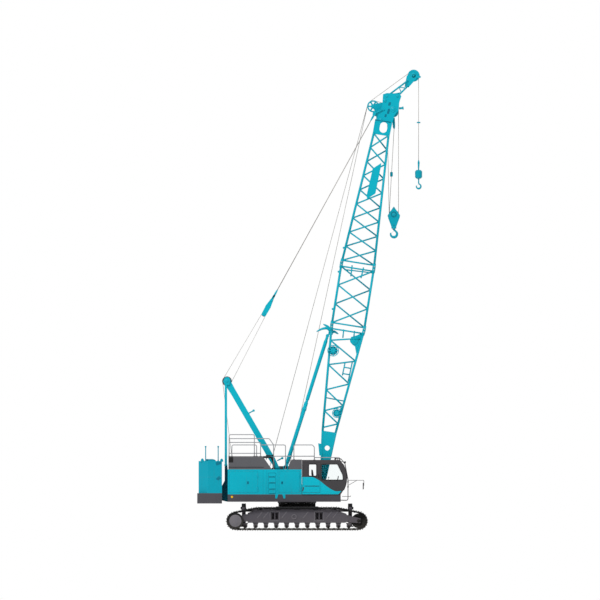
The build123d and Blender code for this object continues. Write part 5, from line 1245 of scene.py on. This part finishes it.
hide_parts("backstop_tubes")
print("boom: wheels, reels, plate, guides and head fittings")


# Hooks: a section that swells round the bowl, a nut over the swivel and a sprung latch

hookTable = {
    "main": {"x": 4.6774, "neck": 14.6, "bowlZ": 14.34, "bowl": 0.15, "section": 0.055,
             "body": "main_hook_swivel"},
    "aux": {"x": 5.8723, "neck": 17.01, "bowlZ": 16.64, "bowl": 0.105, "section": 0.038,
            "body": "aux_hook_swivel"},
}
swell = ((0, 0.12, 0.3, 0.6, 0.85, 0.93, 0.96, 0.98, 1), (0.78, 0.78, 1.0, 1.22, 0.8, 0.66, 0.56, 0.36, 0.08))


def hookShells(row):
    # shank, slanted throat and round bowl as one path; the section grows to the bottom and tapers to the tip
    lead, sweep = radians(48), radians(240)
    x, bowl, section = row["x"], row["bowl"], row["section"]
    joinX, joinZ = x + bowl * cos(lead), row["bowlZ"] + bowl * sin(lead)
    turnZ = joinZ + bowl * cos(lead) ** 2 / sin(lead)
    angle = np.linspace(lead, lead - sweep, 30)
    shank = np.linspace(row["neck"] - 0.002, turnZ + 0.012, 4)
    throat = np.linspace(0.15, 0.9, 4)[:, None]
    flat = np.concatenate([np.c_[np.full(4, x), shank],
                           np.array([[x, turnZ]]) * (1 - throat) + np.array([[joinX, joinZ]]) * throat,
                           np.c_[x + bowl * np.cos(angle), row["bowlZ"] + bowl * np.sin(angle)]])
    tip = flat[-1] + (flat[-1] - flat[-2]) * np.array([[0.5], [0.9], [1.1]])
    flat = np.concatenate([flat, tip])
    path = sidePlace(np.c_[flat, np.zeros(len(flat))])
    turn = turnsRound(20)
    egg = np.stack([0.82 * np.cos(turn), np.sin(turn) * (1 + 0.12 * np.sin(turn))], -1) * section
    nut = [(0.8 * section, -0.9 * section), (1.35 * section, -0.8 * section), (1.35 * section, 0),
           (0.8 * section, 0.02 * section)]
    latch = [(x + bowl * 0.2, 0, joinZ + section * 0.9), path[-4] + (section * 0.2, 0, section * 0.1)]
    return [carry(path, egg, (0, 1, 0), grow=np.interp(np.linspace(0, 1, len(flat)), *swell)),
            lathe(nut, (x, 0, row["neck"] - 0.004), (0, 0, 1), 24),
            carry(latch, roundedOutline(section * 0.75, section * 0.16, section * 0.07, 2), (0, 1, 0))]


for name, row in hookTable.items():
    piece = addPiece(f"{name}_hook_forged", hookShells(row), "hookTurquoise", row["body"])
    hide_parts(f"{name}_hook")

blockFace = 0.1185
blockRing = ((0.1, -0.002), (0.14, -0.002), (0.14, 0.006), (0.134, 0.01), (0.1, 0.01))
hub = (blockX, blockFace, blockZ)
blockTrim = boltRing(hub, (0, 1, 0), 0.165, 8, 0.013)
for z, size, rise in ((blockZ, 0.098, 0.016), (15.579, 0.042, 0.012), (14.76, 0.034, 0.012)):
    blockTrim += boss((blockX, blockFace, z), size, rise)
rings = bothSides([ringLathe(blockRing, hub, segments=40)])
addPiece("main_block_bosses", bothSides(blockTrim), "hookTurquoise", "main_hook_block")
addPiece("main_block_rings", rings, "darkTurquoiseAndPaintedShade", "main_hook_block")
band = ((0.168, -0.15), (0.1735, -0.146), (0.1735, -0.134), (0.168, -0.13))
weightX = hookTable["aux"]["x"]
ballTrim = [ringLathe(band, (weightX, 0, z), (0, 0, 1), 40) for z in (17.36, 17.22)]
ballTrim += [lathe(mirrored([(0.02, -0.04), (0.026, -0.036)]), (weightX, 0, z), segments=16)
             for z in (17.56, 17.78)]
addPiece("aux_weight_bands", ballTrim, "hookTurquoise", "aux_weight")
print("hooks, block and weight")


# Upper works: steps, seams, handles, louvres, lugs, posts' heads, gantry pins and the tail's plates

worksTrim = {
    "face": 1.6, "hoodFace": 1.59, "seams": (-1.64, -1.46, -0.925), "seamHeights": (1.775, 2.95),
    "stepX": (-1.39, -1.02), "steps": ((1.8, 1.985), (2.02, 2.29), (2.325, 2.58), (2.615, 2.8)),
    "feet": ((-1, -0.976), (1, -0.633)), "posts": ((-4.412, 4.061), (-3.807, 4.061)), "postSide": 1.18,
    "postFoot": ((0.026, 0.0), (0.06, 0.002), (0.06, 0.014), (0.026, 0.026)), "deck": 3.371,
    "eyes": ((-4.57, 1.35, 0.08, 1.6), (-4.11, 1.2, 0.19, 0.5), (-3.64, 1.35, 0.075, 1.6)),
    "hoodStrip": (-3.3, 3.06, -1.6, 3.084), "louvre": (-3.3, 3.3, -3.08, 3.56), "louvreSlats": (3.33, 0.034, 7),
    "weightStrip": (-4.3, 2.585, -3.7, 2.601), "stepTread": (0.04, 0.01, 0.034), "tailFaces": (0.495, 0.501),
    # the counterweight's recesses, drawn flat as painted shade
    "recesses": (((-3.92, 3.32), (-3.66, 3.35), (-3.64, 3.23), (-3.9, 3.15)),
                 ((-3.93, 2.5), (-3.76, 2.66), (-3.66, 2.54), (-3.8, 2.43))),
    "pipe": ((-1.64, 3.56), (-1.23, 3.56), (-1.13, 3.3), (-1.13, 2.96)), "pipeSide": 1.25, "pipeBracket": 1.52,
    "tail": ((-3.345, 1.401), (-3.62, 1.463), (-3.62, 2.18), (-3.492, 2.42), (-3.492, 3.175), (-3.366, 3.175),
             (-3.345, 2.9)), "tailBolts": (1.56, 1.75, 1.94, 2.13),
    "latches": {"rear": (-2.37, 2.33), "front": (-0.72, 2.33)}, "lamp": (-3.14, 1.633),
}
shade, works, fittings, lugs = [], [], [], []
rear, front = worksTrim["stepX"]
face, hood, post = worksTrim["face"], worksTrim["hoodFace"], worksTrim["postSide"]
low, high = worksTrim["seamHeights"]
shade += [sideSlab(boxOutline(x - 0.004, low, x + 0.004, high), face, face + 0.002) for x in worksTrim["seams"]]
for low, high in worksTrim["steps"]:
    shade.append(carryRound(roundedBox(rear, low, front, high, 0.045), face + 0.001, circle(0.008, 6)))
    inset, under, over = worksTrim["stepTread"]
    tread = roundedBox(rear + inset, low + under, front - inset, low + over, 0.01)
    works.append(sideSlab(tread, face, face + 0.03))
for lean, x in worksTrim["feet"]:
    toe = x + lean * 0.03
    foot = [(x - 0.075, 1.762), (x + 0.075, 1.762), (toe + 0.045, 1.56), (toe - 0.045, 1.56)]
    works.append(sideSlab(roundedLoop(foot, 0.018), face, face + 0.014))
fittings.append(sideSlab(roundedBox(*worksTrim["hoodStrip"], 0.01), 1.592, 1.602))
fittings.append(sideSlab(roundedBox(*worksTrim["louvre"], 0.02), hood, 1.596))
slatStart, slatStep, slatCount = worksTrim["louvreSlats"]
for z in slatStart + np.arange(slatCount) * slatStep:
    slat = [(hood, z), (1.606, z - 0.012), (1.606, z - 0.002), (hood, z + 0.012)]
    fittings.append(slab(slat, -3.29, -3.09, lambda rows: rows[:, [2, 0, 1]]))
for x, z in worksTrim["posts"]:
    lugs.append(dome(0.043, 12, 0.02, (x, post, z)))
    lugs.append(lathe(worksTrim["postFoot"], (x, post, worksTrim["deck"]), (0, 0, 1), 20))
turn = np.linspace(0, pi, 16)
for x, y, radius, squat in worksTrim["eyes"]:
    eye = np.stack([x + radius * np.cos(turn), 3.37 + radius * squat * np.sin(turn)], -1)
    lugs.append(sideSlab(np.r_[eye, [(x - radius, 3.34), (x + radius, 3.34)]], y - 0.02, y + 0.02))
lugs.append(sideSlab(roundedBox(*worksTrim["weightStrip"], 0.006), face, face + 0.004))
# painted shade: the counterweight's two recesses as dark slanted pads laid flat on its face
shade += [sideSlab(roundedLoop(corners, 0.03), face, face + 0.003) for corners in worksTrim["recesses"]]
# the tail's plates and bolts, turquoise in themselves, in the darker turquoise: painted shade for the gap
# between counterweight and housing
tailInner, tailOuter = worksTrim["tailFaces"]
shade.append(sideSlab(worksTrim["tail"], tailInner, tailOuter))
for z in worksTrim["tailBolts"]:
    shade += boltRing((-3.56, tailOuter, z), (0, 1, 0), 0.0, 1, 0.018)
pipe = [(x, worksTrim["pipeSide"], z) for x, z in worksTrim["pipe"]]
bracket = worksTrim["pipeBracket"]
fittings += [bentTube(pipe, 0.05, 0.1, 16)] + bars([((-1.5, 3.64), (-1.14, 3.64))], bracket, 0.024)
fittings += bars([((x, 3.64), (x, z)) for x, z in ((-1.48, 3.44), (-1.16, 2.966))], bracket, 0.02)
addPiece("housing_steps_and_feet", bothSides(works), "houseTurquoise", "upper_works", 0.003)
addPiece("hood_louvres_and_strips", bothSides(fittings), "trimBlack", "upper_works")
addPiece("counterweight_lugs", bothSides(lugs), "weightTurquoise", "upper_works", 0.004)

gantrySizes = {
    "leg": 0.585,
    "bosses": ((-0.942, 3.015, 0.11, 0.661), (-3.381, 7.226, 0.105, 0.721), (-3.434, 3.18, 0.075, 0.721)),
    "brackets": (((-2.328, 5.68), (-2.096, 5.806)), ((-0.956, 3.386), (-0.71, 3.511))),
    "roller": ((0.03, -0.062), (0.056, -0.06), (0.058, -0.04)),
    "head": ((-3.5, 7.05), (-3.26, 7.05), (-3.22, 7.3), (-3.3, 7.42), (-3.46, 7.42), (-3.54, 7.3)),
}
leg, gantryTrim = gantrySizes["leg"], bars(gantrySizes["brackets"], gantrySizes["leg"], 0.03, 16)
for x, z, radius, out in gantrySizes["bosses"]:
    gantryTrim += boss((x, out, z), radius, 0.016)
gantryTrim += [lathe(mirrored(gantrySizes["roller"]), (x, leg, z), segments=24)
               for _, (x, z) in gantrySizes["brackets"]]
gantryTrim.append(sideSlab(gantrySizes["head"], 0.722, 0.734))
addPiece("gantry_pins_and_rollers", bothSides(gantryTrim), "boomTurquoise", "upper_works")
# the seams and step rims, with the painted shade of the counterweight's recesses and the tail's plates
addPiece("seams_and_painted_shade_recesses_and_tail", bothSides(shade), "darkTurquoiseAndPaintedShade", "upper_works")

latches = {}
for name, (x, z) in worksTrim["latches"].items():
    grip = [(x - 0.03, 1.604), (x - 0.03, 1.63), (x + 0.03, 1.63), (x + 0.03, 1.604)]
    button, knob = [(0.026, 0), (0.026, 0.014), (0.018, 0.02)], (x, face + 0.006, z + 0.03)
    latches[name] = [sideSlab(roundedBox(x - 0.04, z - 0.06, x + 0.04, z + 0.06, 0.02), face, face + 0.006),
                     lathe(button, knob, segments=20),
                     bentTube([(*corner, z - 0.05) for corner in grip], 0.007, 0.012, 8)]
for word, turned in (("right", otherSide), ("left", list)):
    for name, shells in latches.items():
        addPiece(f"{name}_door_latch_{word}", turned(shells), "darkTurquoiseAndPaintedShade", f"{name}_door_{word}_leaf")
turn, (lampX, lampZ) = np.linspace(0, pi / 2, 6), worksTrim["lamp"]
bowl = np.stack([0.052 * np.cos(turn) + 0.004, 0.016 * np.sin(turn)], -1)
lamp = lathe(bowl, (lampX, face + 0.001, lampZ), segments=24)
addPiece("side_lamps", bothSides([lamp]), "lampYellow", "upper_works")
print("upper works: steps, louvres, lugs, pins and latches")


# Crawlers: drive covers, idler caps, the jacks' heads and sockets, ribs and roller caps

crawlerTrim = {
    "wheelX": 2.975, "wheelZ": 0.48, "face": 2.37, "cover": 0.298, "driveFace": 2.586, "shroudFace": 2.57,
    "hubRing": ((0.085, -0.004), (0.128, -0.004), (0.128, 0.022), (0.118, 0.03), (0.094, 0.03), (0.085, 0.022)),
    "rollerCap": ((0.045, -0.01), (0.045, 0.01), (0.034, 0.02), (0.01, 0.021)), "rollerPlace": (2.316, 0.236),
    "idlerFace": 2.345, "openings": (-1.07, 1.07), "openingHalf": 0.225, "openingHeights": (0.485, 0.93),
    "ribs": (-1.8, -1.5, -0.62, 0.42, 1.55, 1.85),
    "rib": ((-0.14, 0.62), (-0.11, 0.61), (0.14, 0.92), (0.11, 0.93)), "jack": (2.57, 1.47),
    "jackHead": ((0.097, -0.16), (0.104, -0.15), (0.104, -0.02), (0.088, -0.001), (0.03, 0.0)),
    "wedge": ((-0.12, 1.03), (0.15, 1.03), (0.16, 1.14), (0.06, 1.2), (-0.1, 1.315)),
    "shroud": ((0.292, -0.06), (0.386, -0.06), (0.392, -0.054), (0.392, -0.006), (0.386, 0.0), (0.292, 0.0)),
}
wheelX, wheelZ, radius = crawlerTrim["wheelX"], crawlerTrim["wheelZ"], crawlerTrim["cover"]
drive, faceY = (-wheelX, crawlerTrim["driveFace"], wheelZ), crawlerTrim["face"]
cover = [(radius, -0.01), (radius, 0.006), (radius * 0.96, 0.011), (radius * 0.62, 0.012),
         (radius * 0.58, 0.017), (radius * 0.2, 0.018)]
covers = [lathe(cover, drive, segments=56),
          ringLathe(crawlerTrim["hubRing"], (-0.14, faceY, 0.676), segments=40)]
covers += boltRing(np.add(drive, (0, 0.01, 0)), (0, 1, 0), radius * 0.82, 16, 0.014, 0.008)
rim, half = roundedOutline(0.016, 0.03, 0.004, 2), crawlerTrim["openingHalf"]
low, high = crawlerTrim["openingHeights"]
covers += [carryRound(roundedBox(x - half, low, x + half, high, 0.03), faceY, rim)
           for x in crawlerTrim["openings"]]
covers += [sideSlab(roundedLoop(np.add(crawlerTrim["rib"], (x, 0)), 0.01), faceY, faceY + 0.01)
           for x in crawlerTrim["ribs"]]
shroud = ringLathe(crawlerTrim["shroud"], (-wheelX, crawlerTrim["shroudFace"], wheelZ), segments=56)
caps = boss((wheelX, crawlerTrim["idlerFace"], wheelZ), 0.085, 0.016)
caps += [lathe(crawlerTrim["rollerCap"], (x, *crawlerTrim["rollerPlace"]), segments=16)
         for x in np.arange(-5, 6) * 0.5]
jacks = []
for front in (-1, 1):
    x, y = front * crawlerTrim["jack"][0], crawlerTrim["jack"][1]
    wedge = np.multiply(crawlerTrim["wedge"], (front, 1)) + (x, 0)
    jacks += [lathe(crawlerTrim["jackHead"], (x, y, 1.319), (0, 0, 1), 24),
              sideSlab(wedge, y - 0.022, y + 0.022),
              ringLathe(mirrored([(0.1, -0.03), (0.12, -0.03)]), (x, y, 0.62), (0, 0, 1), 24)]
addPiece("drive_covers_and_rims", bothSides(covers), "coverGrey", "undercarriage")
addPiece("drive_shroud_rings", bothSides([shroud]), "trackSteel", "undercarriage")
addPiece("roller_and_idler_caps", bothSides(caps), "trackSteel", "undercarriage")
addPiece("jack_heads", bothSides(jacks), "trackSteel", "undercarriage", 0.004)
print("crawlers: covers, caps and jacks")
